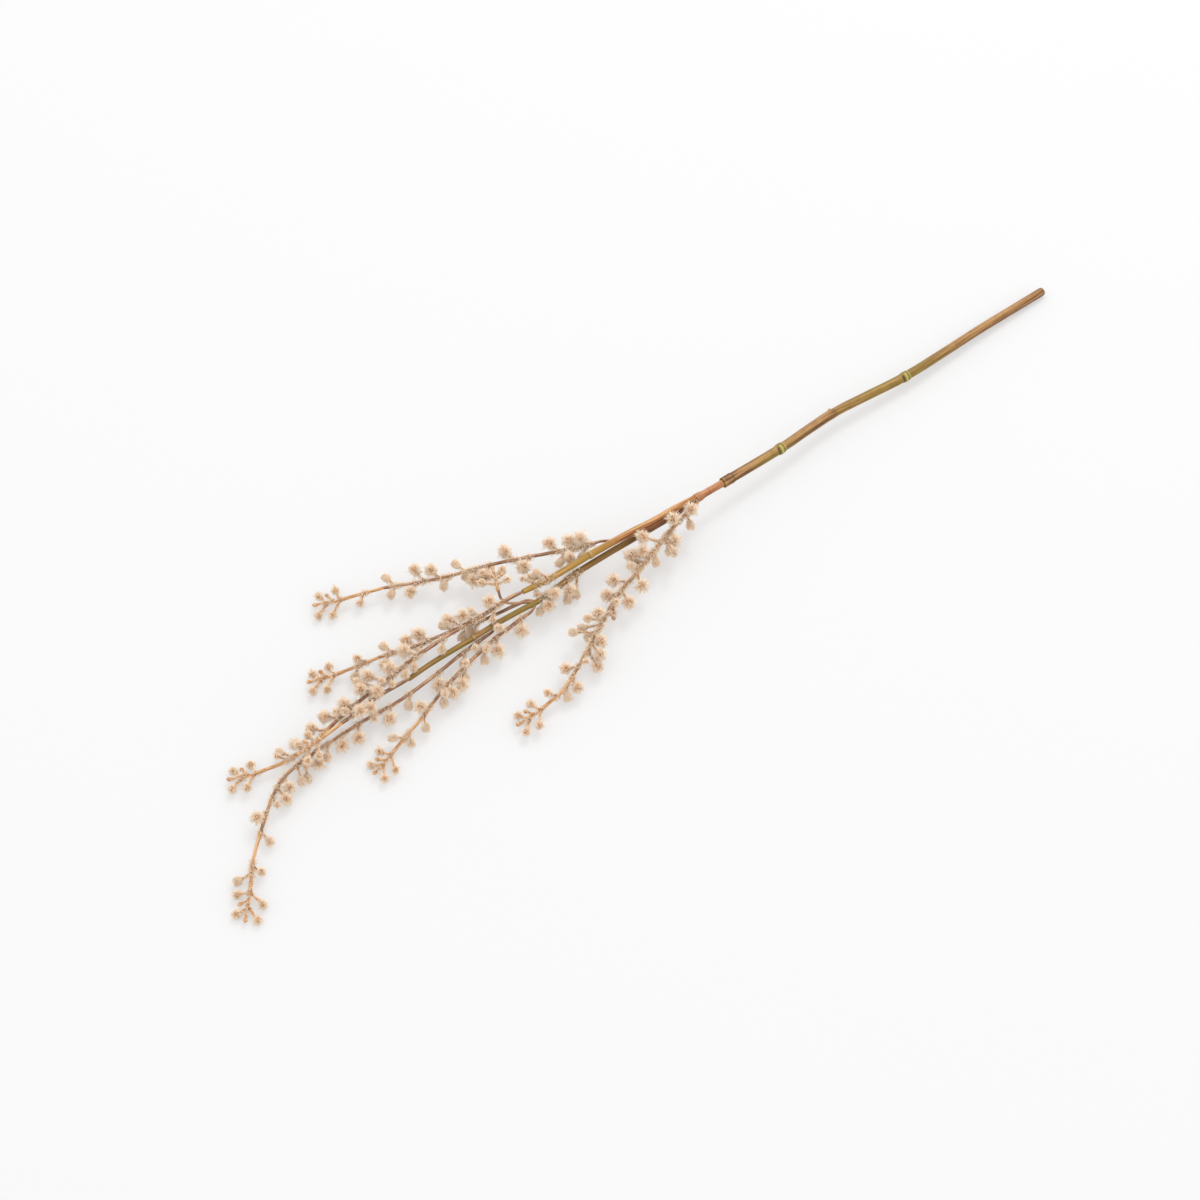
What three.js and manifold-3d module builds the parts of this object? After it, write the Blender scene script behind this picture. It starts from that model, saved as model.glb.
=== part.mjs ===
// Willow twig: an artificial willow spray of moulded plastic with flocked buds, lying on a table.
// Millimetres, +Z up. The long axis lies along X, with the cut end at +X and the sprig tips at -X.
import * as THREE from 'three';
import { mergeVertices } from 'three/addons/utils/BufferGeometryUtils.js';
import Module from 'manifold-3d';

const wasm = await Module();
wasm.setup();

// ---- Clearances and mesh steps ----
const GAP = 0.3;                 // between two pieces that plug together
const SLEEVE_CLEARANCE = 0.55;   // from a stem to the bore of a bud sleeve
const SLEEVE_WALL = 0.5;
const SLEEVE_END_MARGIN = 1.2;   // from a sleeve's end to the first or last stalk
const SLEEVE_LEAST_START = 1;    // no sleeve starts nearer than this to its stem's root
const STEM_STEP = 30;            // longest station along the cane
const BRANCH_STEP = 18;
const SPRIG_STEP = 12;
const STEM_SIDES = 10;
const BRANCH_SIDES = 8;
const SPRIG_SIDES = 6;
const LEAST_RING_GAP = 0.4;      // rings closer than this to a tube's end are left out
const WELD_DISTANCE = 1e-5;
const CURVE_DIVISIONS = 400;     // for reading a route by distance
const CUT_OVERRUN = 1;           // how far a bore's cutter runs past the piece

// ---- Cane and fork ----
const SOCKET_DEPTH = 8;          // how far the neck plugs into the collar
const NECK_RADIUS = 2.35;
const SPRIG_ROOT_RADIUS = 0.9;   // every side sprig starts slim, where it leaves its branch
const SPRIG_ROOT_TAPER = 6;

// A profile is a list of [distance along the route, radius].
const STEM_ROUTE = [[328, 1, 2.75], [268, 0, 5], [208, -2, 7.5], [151, 1, 10.5], [108, -2, 13], [60, -3, 16]];
const STEM_PROFILE = [
  [0, 2.5], [1.2, 2.75], [60, 2.8], [117, 2.95], [120, 3.4], [122, 3.3], [124, 2.95],
  [176, 2.95], [178, 3.15], [219, 3.0], [222, 3.6], [224, 3.5], [226, 3.05],
  [260, 3.1], [262, 3.4], [268, 3.35],
];
const NECK_ROUTE = [[67.5, -2.9, 15.6], [60, -3, 16], [50, -3, 16.5], [38.8, -3, 17]];
const NECK_PROFILE = [[0, NECK_RADIUS], [15, 2.25], [22, 2.3], [25, 2.8], [28.7, 3.0]];
const UPPER_ROUTE = [
  [38.2, -2.5, 18.6], [28, -2.3, 19], [11.5, -2.3, 19.2], [-9.5, -0.5, 19.2], [-35.5, 1, 19],
  [-64.5, 2, 18], [-84.5, 4.5, 17],
];
const UPPER_PROFILE = [[0, 1.4], [16, 2.2], [73, 2.2], [76, 2.5], [78, 2.05], [118, 1.85], [122, 1.6]];
const LOWER_ROUTE = [
  [38.2, -3.4, 15.3], [28, -3.4, 14.6], [5.5, -3, 14.3], [-23, -1.9, 13.8], [-51, -1.6, 13], [-77.5, -4, 12.5],
  [-99.5, -2, 12], [-128.5, -1.5, 11.5], [-153, -1, 11], [-171.5, -2, 11],
];
const LOWER_PROFILE = [
  [0, 1.2], [16, 1.95], [86, 1.95], [89, 2.25], [91, 1.85], [112, 1.9], [114, 1.7], [147, 1.7],
  [149.5, 1.95], [151.5, 1.7], [161, 1.7], [163.5, 1.9], [165.5, 1.7], [208, 1.5],
];

// ---- Buds: half width and half length with the flock on, and the sides of the plain solid ----
const BUD = { wide: 3.2, long: 3.4, sides: 5 };
const TIP_BUD = { wide: 2.45, long: 2.6, sides: 5 };
const SMALL = { wide: 1.95, long: 2.1, sides: 4 };
const POD = { wide: 1.5, long: 3.2, sides: 4 };
const BARE = { wide: 1.4, long: 1.7, sides: 4 };
const BUD_BELT = 0.42;           // half height of a bud's widest band, as a share of its half length
const STALK_TOP = 0.92;          // where the stalk meets the bud, as a share of the half length
const STALK_RADIUS = 0.55;
const STALK_LEAN = 0.5;          // a stalk's root lies this share of its reach behind its bud

// A bud is [distance along the sprig, hour on the clock, reach from the centre line, kind].
// The clock is read looking from the sprig's root to its tip: 12 is up and 3 is to the right.
const END_COLLAR = 5.5;          // ribbed collar at the root of each end spray
const END_AXIS = 15;
const END_PROFILE = [[0, 1.2], [END_COLLAR - 0.7, 1.25], [END_COLLAR, 0.8], [END_AXIS, 0.65]];
const END_BUDS = [
  [5.5, 7.5, 3, 7, TIP_BUD],
  [6, 12.5, 9, 8.2, TIP_BUD],
  [10, 13, 2.6, 4.6, BARE],
  [14, 18, 3, 6, TIP_BUD],
  [14.4, 21.5, 1.5, 1, BARE],
  [14, 21, 9, 6.2, TIP_BUD],
];

// Each sprig: its route, its root and tip radius, where its tan tip piece starts, how far its end
// spray is turned in clock hours and how long it is beside END_AXIS, and its bud sleeves, each a list of buds.
const SPRIGS = {
  right_sprig: {
    route: [
      [38.2, -5.9, 16.9], [27, -8.3, 16.5], [10.5, -12.5, 15], [-16, -21.5, 13], [-35, -27, 12],
      [-58.5, -38.5, 11], [-83.5, -52, 9.5], [-105.5, -61, 7], [-113.5, -61.4, 6.2],
    ],
    radius: [1.2, 1.1],
    tipFrom: 141,
    endTurn: 0.2,
    endSize: 1,
    sleeves: [
      [[9, 11.2, 6, BUD], [14, 8.5, 6, POD], [21, 12.4, 7, BUD], [30, 9, 6, BUD], [36, 8, 7, POD],
        [38, 9.5, 11, POD]],
      [[42, 1.6, 12, BUD], [47, 8, 4.6, POD], [49, 1.4, 6.4, BUD], [53.5, 2.8, 9.8, BUD], [55, 4.4, 6.5, BUD],
        [60, 2, 5, POD], [66, 9, 8, BUD], [74, 2.5, 7.5, BUD]],
      [[81, 9, 7.8, BUD], [83, 3, 5.8, BUD], [87, 11, 5, SMALL], [90, 6.8, 4.8, SMALL], [95, 8.6, 4.6, BARE],
        [98, 1.5, 5.2, BUD], [105, 1.6, 9, POD], [108, 3.4, 9.5, POD], [111, 4.5, 5.4, POD],
        [113, 9.3, 5, BUD], [115, 2.6, 12, POD]],
      [[121, 9, 8, BUD], [127, 8.4, 9.6, BUD], [130, 10.5, 4.8, SMALL], [138, 3, 6, BUD]],
      [[145, 8.7, 6, BUD], [152, 8, 4.2, POD], [160, 2, 5.4, TIP_BUD]],
    ],
  },
  top_sprig: {
    route: [
      [-27, 5.9, 18], [-35, 9, 17], [-49.5, 15.5, 16], [-68.5, 24.5, 15], [-87.5, 33, 14], [-106, 40, 12.5],
      [-126.5, 49.5, 10], [-146, 60.5, 7.9], [-166.5, 68.5, 6],
    ],
    radius: [1.2, 1.05],
    tipFrom: 133,
    endTurn: -0.3,
    endSize: 1,
    sleeves: [
      [[11, 1.5, 5, BUD], [12, 8, 5.4, POD], [18, 3, 5.8, BUD], [20, 9, 6, BUD], [26, 8.6, 6.6, POD],
        [30, 2.5, 6, BUD]],
      [[48, 9, 6, BUD], [57, 2.5, 6.2, BUD]],
      [[72, 8.5, 5.8, BUD], [80, 8.7, 6.4, BUD], [83, 6, 4.8, POD], [87, 2.5, 5.6, POD]],
      [[97, 8.5, 4.8, POD], [103, 2, 6, BUD], [113, 2.2, 8, BUD], [117, 8.8, 5.4, BUD], [129, 8.6, 4.8, POD],
        [130, 2.5, 5.2, POD]],
      [[149, 8.6, 5.4, TIP_BUD]],
    ],
  },
  middle_sprig: {
    route: [
      [-84.8, -0.4, 13.9], [-90, 1.5, 12.6], [-96.5, 3, 11.4], [-112, 5.5, 10.5], [-134.5, 11, 10.5],
      [-155.5, 15, 9.5], [-173.5, 21.5, 8], [-194, 27, 5.2], [-197.3, 28, 4.9],
    ],
    radius: [1.15, 1],
    tipFrom: 95,
    endTurn: 0.2,
    endSize: 1,
    sleeves: [
      [[37, 7.7, 5, BUD], [44, 8, 5, POD], [52, 3, 5, POD]],
      [[68, 2.5, 6.5, BUD], [72, 9.5, 5, SMALL], [77, 3, 5.8, BUD], [90, 2.5, 5, POD], [93, 8.7, 5.6, BUD]],
      [[107, 1, 5, TIP_BUD], [112, 8.6, 5, POD]],
    ],
  },
  short_sprig: {
    route: [[-98, 8.6, 17.6], [-97.4, 10.6, 18], [-96.6, 12.8, 18.2]],
    radius: [0.95, 0.95],
    tipFrom: null,
    endTurn: -0.4,
    endSize: 0.7,
    sleeves: [],
  },
  upper_sprig: {
    route: [
      [-84.9, 4.6, 17], [-95, 6, 16.9], [-109.5, 5.2, 16.5], [-126.5, 6.5, 16], [-150.5, 6.5, 15],
      [-166.5, 6, 14], [-180, 4.3, 13], [-195, 3, 12], [-212, 1.3, 10.8], [-231.5, -2.5, 10], [-244, -4, 8.5],
      [-254.5, -3.5, 7], [-263, -2.6, 5.6], [-269.5, -0.3, 4.9],
    ],
    radius: [1.35, 1.1],
    tipFrom: 143,
    endTurn: 0.3,
    endSize: 1,
    sleeves: [
      [[21, 1.4, 5.2, BUD], [25, 8.8, 5.2, SMALL], [33, 2.5, 5, POD], [39, 1.6, 5.6, BUD], [47, 2.5, 7.5, BUD]],
      [[61, 9.4, 6, POD], [79, 2.5, 7, BUD], [81, 9.4, 5, POD]],
      [[88, 9.4, 5, POD], [93, 1, 5.2, BUD], [98, 9.6, 5.2, SMALL], [102, 11.6, 5.4, SMALL], [105, 2.6, 9, BUD],
        [108, 10.6, 6.4, BUD], [111, 3, 10, POD], [114, 1.4, 5.4, BUD]],
      [[127, 1, 5.2, BUD], [133, 12.6, 5, POD], [139, 3, 7.2, BUD]],
      [[150, 2.6, 6.8, BUD], [164, 3, 6, BUD], [171, 2, 4.8, BUD], [174, 3.2, 7, POD], [177, 1.6, 5.4, SMALL]],
    ],
  },
  inner_sprig: {
    route: [[-171.9, -2, 11], [-184.5, -1.2, 10.8], [-198, -1.8, 11.4], [-210.5, -3.8, 12.4], [-220, -4.6, 12.8],
      [-232.5, -6, 13]],
    radius: [1.3, 1.1],
    tipFrom: 48,
    endTurn: 0.1,
    endSize: 0.8,
    sleeves: [
      [[30, 10, 5.2, BUD], [37, 11, 5.6, BUD], [43, 1, 5, POD]],
    ],
  },
  under_sprig: {
    route: [
      [-112, -3, 8.6], [-123, -4, 8.8], [-139.5, -5.5, 8.8], [-154, -7.3, 8.4], [-182.5, -9.5, 8],
      [-191, -9.2, 8], [-212.5, -8, 7.5], [-230, -8.2, 7], [-247.5, -8.6, 6.5], [-258, -9.8, 6.4],
      [-266.5, -12.4, 6.3], [-276, -18, 6], [-291, -30.5, 4.8], [-304, -42.5, 3.8], [-313.5, -54.5, 3.2],
    ],
    radius: [1.2, 1.05],
    tipFrom: 189,
    endTurn: 0,
    endSize: 1.1,
    sleeves: [
      [[17, 10.4, 4.8, SMALL], [26, 8, 4.6, POD], [47, 8.6, 6, BUD]],
      [[68, 8, 4.6, POD], [82, 8.6, 6.2, BUD], [90, 10.4, 4.8, SMALL], [104, 9, 7.6, BUD]],
      [[114, 8.4, 5.2, BUD], [125, 8.6, 6, POD], [132, 9, 7.2, BUD], [139, 9.4, 4.8, SMALL],
        [142, 8, 9.5, POD], [147, 8.7, 8.4, POD]],
      [[157, 9, 6.2, BUD], [165, 9, 8.2, BUD], [171, 9.4, 4.6, SMALL], [182, 1.5, 5.2, BUD]],
      [[193, 9, 6, POD], [214, 9.5, 5.6, TIP_BUD], [219, 3, 7, POD]],
    ],
  },
  left_sprig: {
    route: [
      [-86, -6.5, 11.4], [-97.5, -7.4, 10.9], [-116, -9, 10.4], [-126.5, -11, 10], [-135, -12.8, 9.8],
      [-153, -17, 8.8], [-167.5, -22, 8], [-179, -26.5, 7.2], [-193, -30, 5.2], [-200.8, -32.7, 4.6],
    ],
    radius: [1.25, 1.05],
    tipFrom: 95,
    endTurn: 0.2,
    endSize: 0.92,
    sleeves: [
      [[13, 8.6, 6, BUD], [24, 12.4, 5, POD], [33, 8.7, 7, BUD], [38, 10.8, 5, POD], [42, 8, 5, POD]],
      [[54, 11.6, 5, SMALL], [58, 7.4, 4.8, POD], [64, 9, 6.4, BUD], [72, 9, 5.8, BUD],
        [76, 10.6, 5, POD], [79, 7.8, 4.8, POD],
        [91, 1.5, 5.2, BUD]],
      [[98, 8.4, 4.8, POD], [111, 9, 4.6, POD], [115, 2.2, 4.8, POD]],
    ],
  },
};

// Bud sleeves threaded on the two branches themselves.
const LOWER_SLEEVES = [
  [[93, 8.6, 7.2, BUD], [94, 7.2, 11, POD], [99, 8.8, 6.4, BUD], [101, 7.3, 10, POD]],
  [[109, 10.6, 5.2, BUD], [115, 9, 5.8, BUD], [116, 2.6, 4.2, SMALL], [119, 7.2, 6, POD]],
];
const UPPER_SLEEVES = [
  [[110, 2.4, 6, POD], [113, 3.6, 7.5, POD], [119, 2.9, 8, SMALL]],
];

// ---- Finishes of the plain solids ----
const CANE = { color: 0xb49060, roughness: 0.5 };
const NECK_RED = { color: 0xb8805a, roughness: 0.5 };
const OLIVE = { color: 0xa88a3c, roughness: 0.5 };
const DARK_BRANCH = { color: 0x8a6038, roughness: 0.55 };
const MAUVE = { color: 0x966e5a, roughness: 0.7 };
const TAN = { color: 0xd09a62, roughness: 0.6 };
const FLOCK = { color: 0xd7b996, roughness: 1 };

// ---- Helpers ----
function material(finish) {
  return new THREE.MeshStandardMaterial({ ...finish, metalness: 0 });
}

function namedMesh(name, geometry, finish) {
  const mesh = new THREE.Mesh(geometry, material(finish));
  mesh.name = name;
  return mesh;
}

function welded(geometry) {
  geometry.deleteAttribute('normal');
  geometry.deleteAttribute('uv');
  return mergeVertices(geometry, WELD_DISTANCE);
}

function toSolid(geometry) {
  const numbers = new Float32Array(geometry.attributes.position.array);
  const corners = new Uint32Array(geometry.index.array);
  return new wasm.Manifold(new wasm.Mesh({ numProp: 3, vertProperties: numbers, triVerts: corners }));
}

function toGeometry(solid) {
  const mesh = solid.getMesh();
  const geometry = new THREE.BufferGeometry();
  geometry.setAttribute('position', new THREE.BufferAttribute(new Float32Array(mesh.vertProperties), 3));
  geometry.setIndex(new THREE.BufferAttribute(new Uint32Array(mesh.triVerts), 1));
  return geometry;
}

// A route is a smooth curve that is read by distance, and runs on straight past both of its ends.
class Route {
  constructor(points) {
    this.curve = new THREE.CatmullRomCurve3(points.map((p) => new THREE.Vector3(...p)), false, 'centripetal');
    this.curve.arcLengthDivisions = CURVE_DIVISIONS;
    this.length = this.curve.getLength();
  }

  // Point, forward, right and up at a distance along the route.
  at(distance) {
    const inside = THREE.MathUtils.clamp(distance, 0, this.length);
    const share = inside / this.length;
    const forward = this.curve.getTangentAt(share);
    const point = this.curve.getPointAt(share).addScaledVector(forward, distance - inside);
    const right = new THREE.Vector3().crossVectors(forward, new THREE.Vector3(0, 0, 1)).normalize();
    const up = new THREE.Vector3().crossVectors(right, forward);
    return { point, forward, right, up };
  }

  // Point at a clock hour around the route.
  around(distance, hour, reach) {
    const { point, right, up } = this.at(distance);
    const angle = (hour / 12) * Math.PI * 2;
    return point.addScaledVector(right, reach * Math.sin(angle)).addScaledVector(up, reach * Math.cos(angle));
  }
}

function radiusIn(profile, distance) {
  const next = profile.findIndex(([place]) => place >= distance);
  if (next <= 0) {
    return next === 0 ? profile[0][1] : profile[profile.length - 1][1];
  }
  const [placeA, radiusA] = profile[next - 1];
  const [placeB, radiusB] = profile[next];
  return THREE.MathUtils.mapLinear(distance, placeA, placeB, radiusA, radiusB);
}

// The distances where a tube has a ring: every place of its profile, and steps between them.
function ringPlaces(from, to, profile, step) {
  const inner = ([place]) => place > from + LEAST_RING_GAP && place < to - LEAST_RING_GAP;
  const marks = [from, ...profile.filter(inner).map(([place]) => place), to];
  const places = [from];
  for (let i = 1; i < marks.length; i += 1) {
    const parts = Math.max(1, Math.ceil((marks[i] - marks[i - 1]) / step));
    for (let k = 1; k <= parts; k += 1) {
      places.push(THREE.MathUtils.lerp(marks[i - 1], marks[i], k / parts));
    }
  }
  return places;
}

// A closed cylinder bent along a route from one distance to another.
function bentTube(route, from, to, profile, sides, step) {
  const places = ringPlaces(from, to, profile, step);
  const geometry = new THREE.CylinderGeometry(1, 1, 1, sides, places.length - 1);
  const position = geometry.attributes.position;
  for (let i = 0; i < position.count; i += 1) {
    const ring = Math.round((position.getY(i) + 0.5) * (places.length - 1));
    const frame = route.at(places[ring]);
    const radius = radiusIn(profile, places[ring]);
    const moved = frame.point
      .addScaledVector(frame.right, position.getX(i) * radius)
      .addScaledVector(frame.up, position.getZ(i) * radius);
    position.setXYZ(i, moved.x, moved.y, moved.z);
  }
  return welded(geometry);
}

function wholeTube(route, profile, sides, step) {
  return bentTube(route, 0, route.length, profile, sides, step);
}

function evenProfile(from, to, radius) {
  return [[from, radius], [to, radius]];
}

// A bud and its stalk, turned as one solid from a root point to the bud's centre.
function stalkedBud(root, centre, kind) {
  const outward = new THREE.Vector3().subVectors(centre, root);
  const stalk = outward.length();
  const outline = [
    [0, 0],
    [STALK_RADIUS, 0],
    [STALK_RADIUS, stalk - kind.long * STALK_TOP],
    [kind.wide, stalk - kind.long * BUD_BELT],
    [kind.wide, stalk + kind.long * BUD_BELT],
    [0, stalk + kind.long],
  ];
  const bud = new THREE.LatheGeometry(outline.map(([x, y]) => new THREE.Vector2(x, y)), kind.sides);
  const turn = new THREE.Quaternion().setFromUnitVectors(new THREE.Vector3(0, 1, 0), outward.normalize());
  bud.applyQuaternion(turn);
  bud.translate(root.x, root.y, root.z);
  return toSolid(welded(bud));
}

// A thin sleeve threaded on a stem, with a stalked bud for each row of its list.
function budSleeve(route, stemProfile, rows) {
  const roots = rows.map(([along, , reach]) => along - STALK_LEAN * reach);
  const from = Math.max(Math.min(...roots) - SLEEVE_END_MARGIN, SLEEVE_LEAST_START);
  const to = Math.max(...roots) + SLEEVE_END_MARGIN;
  const bore = Math.max(...roots.map((place) => radiusIn(stemProfile, place))) + SLEEVE_CLEARANCE;
  const outer = evenProfile(from, to, bore + SLEEVE_WALL);
  let solid = toSolid(bentTube(route, from, to, outer, SPRIG_SIDES, SPRIG_STEP));
  rows.forEach(([along, hour, reach, kind], i) => {
    const root = route.around(Math.max(roots[i], from + SLEEVE_END_MARGIN), hour, bore + SLEEVE_WALL / 2);
    solid = solid.add(stalkedBud(root, route.around(along, hour, reach), kind));
  });
  const [cutFrom, cutTo] = [from - CUT_OVERRUN, to + CUT_OVERRUN];
  const inner = bentTube(route, cutFrom, cutTo, evenProfile(cutFrom, cutTo, bore), SPRIG_SIDES, SPRIG_STEP);
  return toGeometry(solid.subtract(toSolid(inner)));
}

// The forked tan piece at a sprig's tip: a ribbed collar, a thin axis and six stalked buds.
function endSpray(route, turn, size) {
  const { point, forward } = route.at(route.length + GAP);
  const far = point.clone().addScaledVector(forward, END_AXIS * size);
  const axis = new Route([point.toArray(), far.toArray()]);
  const profile = END_PROFILE.map(([place, radius]) => [place * size, radius]);
  let solid = toSolid(wholeTube(axis, profile, SPRIG_SIDES, END_AXIS * size));
  END_BUDS.forEach(([rootPlace, along, hour, reach, kind]) => {
    const root = axis.at(rootPlace * size).point;
    solid = solid.add(stalkedBud(root, axis.around(along * size, hour + turn, reach), kind));
  });
  return toGeometry(solid);
}

// ---- Assemblies ----
function cane() {
  const group = new THREE.Group();
  const stemRoute = new Route(STEM_ROUTE);
  const neckRoute = new Route(NECK_ROUTE);
  const outer = toSolid(wholeTube(stemRoute, STEM_PROFILE, STEM_SIDES, STEM_STEP));
  const socketFrom = stemRoute.length - SOCKET_DEPTH;
  const socketTo = stemRoute.length + CUT_OVERRUN;
  const socketProfile = evenProfile(socketFrom, socketTo, NECK_RADIUS + GAP);
  const socket = toSolid(bentTube(stemRoute, socketFrom, socketTo, socketProfile, STEM_SIDES, STEM_STEP));
  group.add(namedMesh('main_stem', toGeometry(outer.subtract(socket)), CANE));
  group.add(namedMesh('neck', wholeTube(neckRoute, NECK_PROFILE, STEM_SIDES, BRANCH_STEP), NECK_RED));
  return group;
}

function branch(name, points, profile, finish, sleeves) {
  const group = new THREE.Group();
  const route = new Route(points);
  group.add(namedMesh(name, wholeTube(route, profile, BRANCH_SIDES, BRANCH_STEP), finish));
  sleeves.forEach((rows, i) => {
    group.add(namedMesh(`${name}_buds_${i + 1}`, budSleeve(route, profile, rows), FLOCK));
  });
  return group;
}

function sprig(name, plan) {
  const group = new THREE.Group();
  const route = new Route(plan.route);
  const [rootRadius, tipRadius] = plan.radius;
  const slim = Math.min(SPRIG_ROOT_RADIUS, rootRadius);
  const profile = [[0, slim], [SPRIG_ROOT_TAPER, rootRadius], [route.length, tipRadius]];
  const stemEnd = plan.tipFrom ?? route.length;
  group.add(namedMesh(`${name}_stem`, bentTube(route, 0, stemEnd, profile, SPRIG_SIDES, SPRIG_STEP), MAUVE));
  if (plan.tipFrom !== null) {
    const tip = bentTube(route, plan.tipFrom + GAP, route.length, profile, SPRIG_SIDES, SPRIG_STEP);
    group.add(namedMesh(`${name}_tip`, tip, TAN));
  }
  plan.sleeves.forEach((rows, i) => {
    group.add(namedMesh(`${name}_buds_${i + 1}`, budSleeve(route, profile, rows), FLOCK));
  });
  group.add(namedMesh(`${name}_end_spray`, endSpray(route, plan.endTurn, plan.endSize), TAN));
  return group;
}

// ---- The whole spray, set down with its lowest points on z = 0 and centred on the origin ----
const spray = new THREE.Group();
spray.add(cane());
spray.add(branch('upper_branch', UPPER_ROUTE, UPPER_PROFILE, OLIVE, UPPER_SLEEVES));
spray.add(branch('lower_branch', LOWER_ROUTE, LOWER_PROFILE, DARK_BRANCH, LOWER_SLEEVES));
for (const [name, plan] of Object.entries(SPRIGS)) {
  spray.add(sprig(name, plan));
}

const bounds = new THREE.Box3().setFromObject(spray, true);
const middle = bounds.getCenter(new THREE.Vector3());
spray.position.set(-middle.x, -middle.y, -bounds.min.z);
spray.updateMatrixWorld(true);

export default spray;
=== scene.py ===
"""Willow twig: an artificial willow spray of moulded plastic with flocked buds, lying on a table.

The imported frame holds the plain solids. This script reads their centre lines, radii and buds, and
builds the finished pieces around them. Lengths are in millimetres unless a name says metres.
"""

from __future__ import annotations

import logging
import math
import random
from collections.abc import Callable, Iterable, Sequence
from dataclasses import dataclass, field
from enum import Enum

import bmesh
import bpy
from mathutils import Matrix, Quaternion, Vector, noise

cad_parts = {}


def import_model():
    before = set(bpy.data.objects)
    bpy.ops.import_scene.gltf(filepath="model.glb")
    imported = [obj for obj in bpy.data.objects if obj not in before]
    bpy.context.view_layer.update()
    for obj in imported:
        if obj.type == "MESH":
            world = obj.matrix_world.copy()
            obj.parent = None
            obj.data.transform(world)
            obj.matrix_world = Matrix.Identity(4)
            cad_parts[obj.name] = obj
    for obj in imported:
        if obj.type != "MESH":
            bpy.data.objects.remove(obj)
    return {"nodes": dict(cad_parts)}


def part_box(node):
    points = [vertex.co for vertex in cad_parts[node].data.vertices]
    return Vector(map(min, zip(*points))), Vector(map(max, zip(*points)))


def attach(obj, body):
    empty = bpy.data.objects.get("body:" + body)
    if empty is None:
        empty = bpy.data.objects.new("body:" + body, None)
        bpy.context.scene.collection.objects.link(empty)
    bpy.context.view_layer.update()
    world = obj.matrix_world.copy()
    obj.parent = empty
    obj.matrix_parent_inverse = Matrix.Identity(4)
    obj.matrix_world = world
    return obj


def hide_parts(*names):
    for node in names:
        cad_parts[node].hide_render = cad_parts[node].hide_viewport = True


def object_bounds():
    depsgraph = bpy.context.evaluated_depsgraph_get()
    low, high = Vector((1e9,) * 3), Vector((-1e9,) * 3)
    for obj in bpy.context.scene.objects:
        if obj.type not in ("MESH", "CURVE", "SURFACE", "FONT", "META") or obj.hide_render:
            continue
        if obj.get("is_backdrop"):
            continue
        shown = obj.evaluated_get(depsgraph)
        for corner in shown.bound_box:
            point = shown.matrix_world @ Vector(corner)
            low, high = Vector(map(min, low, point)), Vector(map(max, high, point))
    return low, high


LOG = logging.getLogger("willow_twig")

MM = 0.001
BODY = "root"
FULL_TURN = 2.0 * math.pi
HOURS = 12.0
SKY = Vector((0.0, 0.0, 1.0))
NO_PLACE = (0.0, 0.0, 0.0)
WHITE = (1.0, 1.0, 1.0, 1.0)
WELD_METRES = 2e-6
LEAST_POD_SLENDER = 1.6
LEAST_BARE_SLENDER = 1.15
UPPER_SEED = 100
LOWER_SEED = 200
SPRIG_SEED = 1000
SPRIG_SEED_STEP = 100
SPRAY_SEED = 50
TAN_ROOTED = "right_sprig"
TAN_ROOT = 0.8

Colour = tuple[float, float, float, float]
Triple = tuple[float, float, float]
Socket = bpy.types.NodeSocket
Ramp = Sequence[tuple[float, Colour]]


def paint(red: int, green: int, blue: int) -> Colour:
    """Turn a display colour into the linear one that a shader takes.

    Args:
        red: Red, 0 to 255.
        green: Green, 0 to 255.
        blue: Blue, 0 to 255.

    Returns:
        The linear colour, with full alpha.
    """
    linear = []
    for channel in (red, green, blue):
        share = channel / 255.0
        linear.append(share / 12.92 if share <= 0.04045 else ((share + 0.055) / 1.055) ** 2.4)
    return (linear[0], linear[1], linear[2], 1.0)


def smooth(low: float, high: float, value: float) -> float:
    """Ease from 0 at low to 1 at high."""
    share = min(max((value - low) / (high - low), 0.0), 1.0)
    return share * share * (3.0 - 2.0 * share)


def bell(centre: float, width: float, value: float) -> float:
    """Return a soft bump of height 1 at centre that fades over width."""
    return math.exp(-(((value - centre) / width) ** 2))


def hour_gap(hour: float, other: float) -> float:
    """Return how many hours of the clock lie between two hours, the short way round."""
    gap = abs(hour - other) % HOURS
    return min(gap, HOURS - gap)


def rind(place: float, hour: float, around: float, along: float, phase: float = 0.0) -> float:
    """Return noise on a stem's surface.

    Args:
        place: The distance along the stem.
        hour: The clock hour.
        around: How fine the noise is around the stem.
        along: How fine it is along the stem.
        phase: Where in the noise the stem starts.

    Returns:
        The noise, about -1 to 1.
    """
    angle = hour / HOURS * FULL_TURN
    return noise.noise(Vector((math.cos(angle) * around, math.sin(angle) * around, place * along + phase)))


def add_object(name: str, data: bpy.types.ID) -> bpy.types.Object:
    """Put new data in the scene as an object, and return the object."""
    piece = bpy.data.objects.new(name, data)
    bpy.context.scene.collection.objects.link(piece)
    return piece


def point_values(mesh: bpy.types.Mesh, name: str, values: Sequence[float]) -> None:
    """Give a mesh a named value at each vertex."""
    attribute = mesh.attributes.new(name, "FLOAT", "POINT")
    attribute.data.foreach_set("value", values)


# ---- Materials ----


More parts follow.
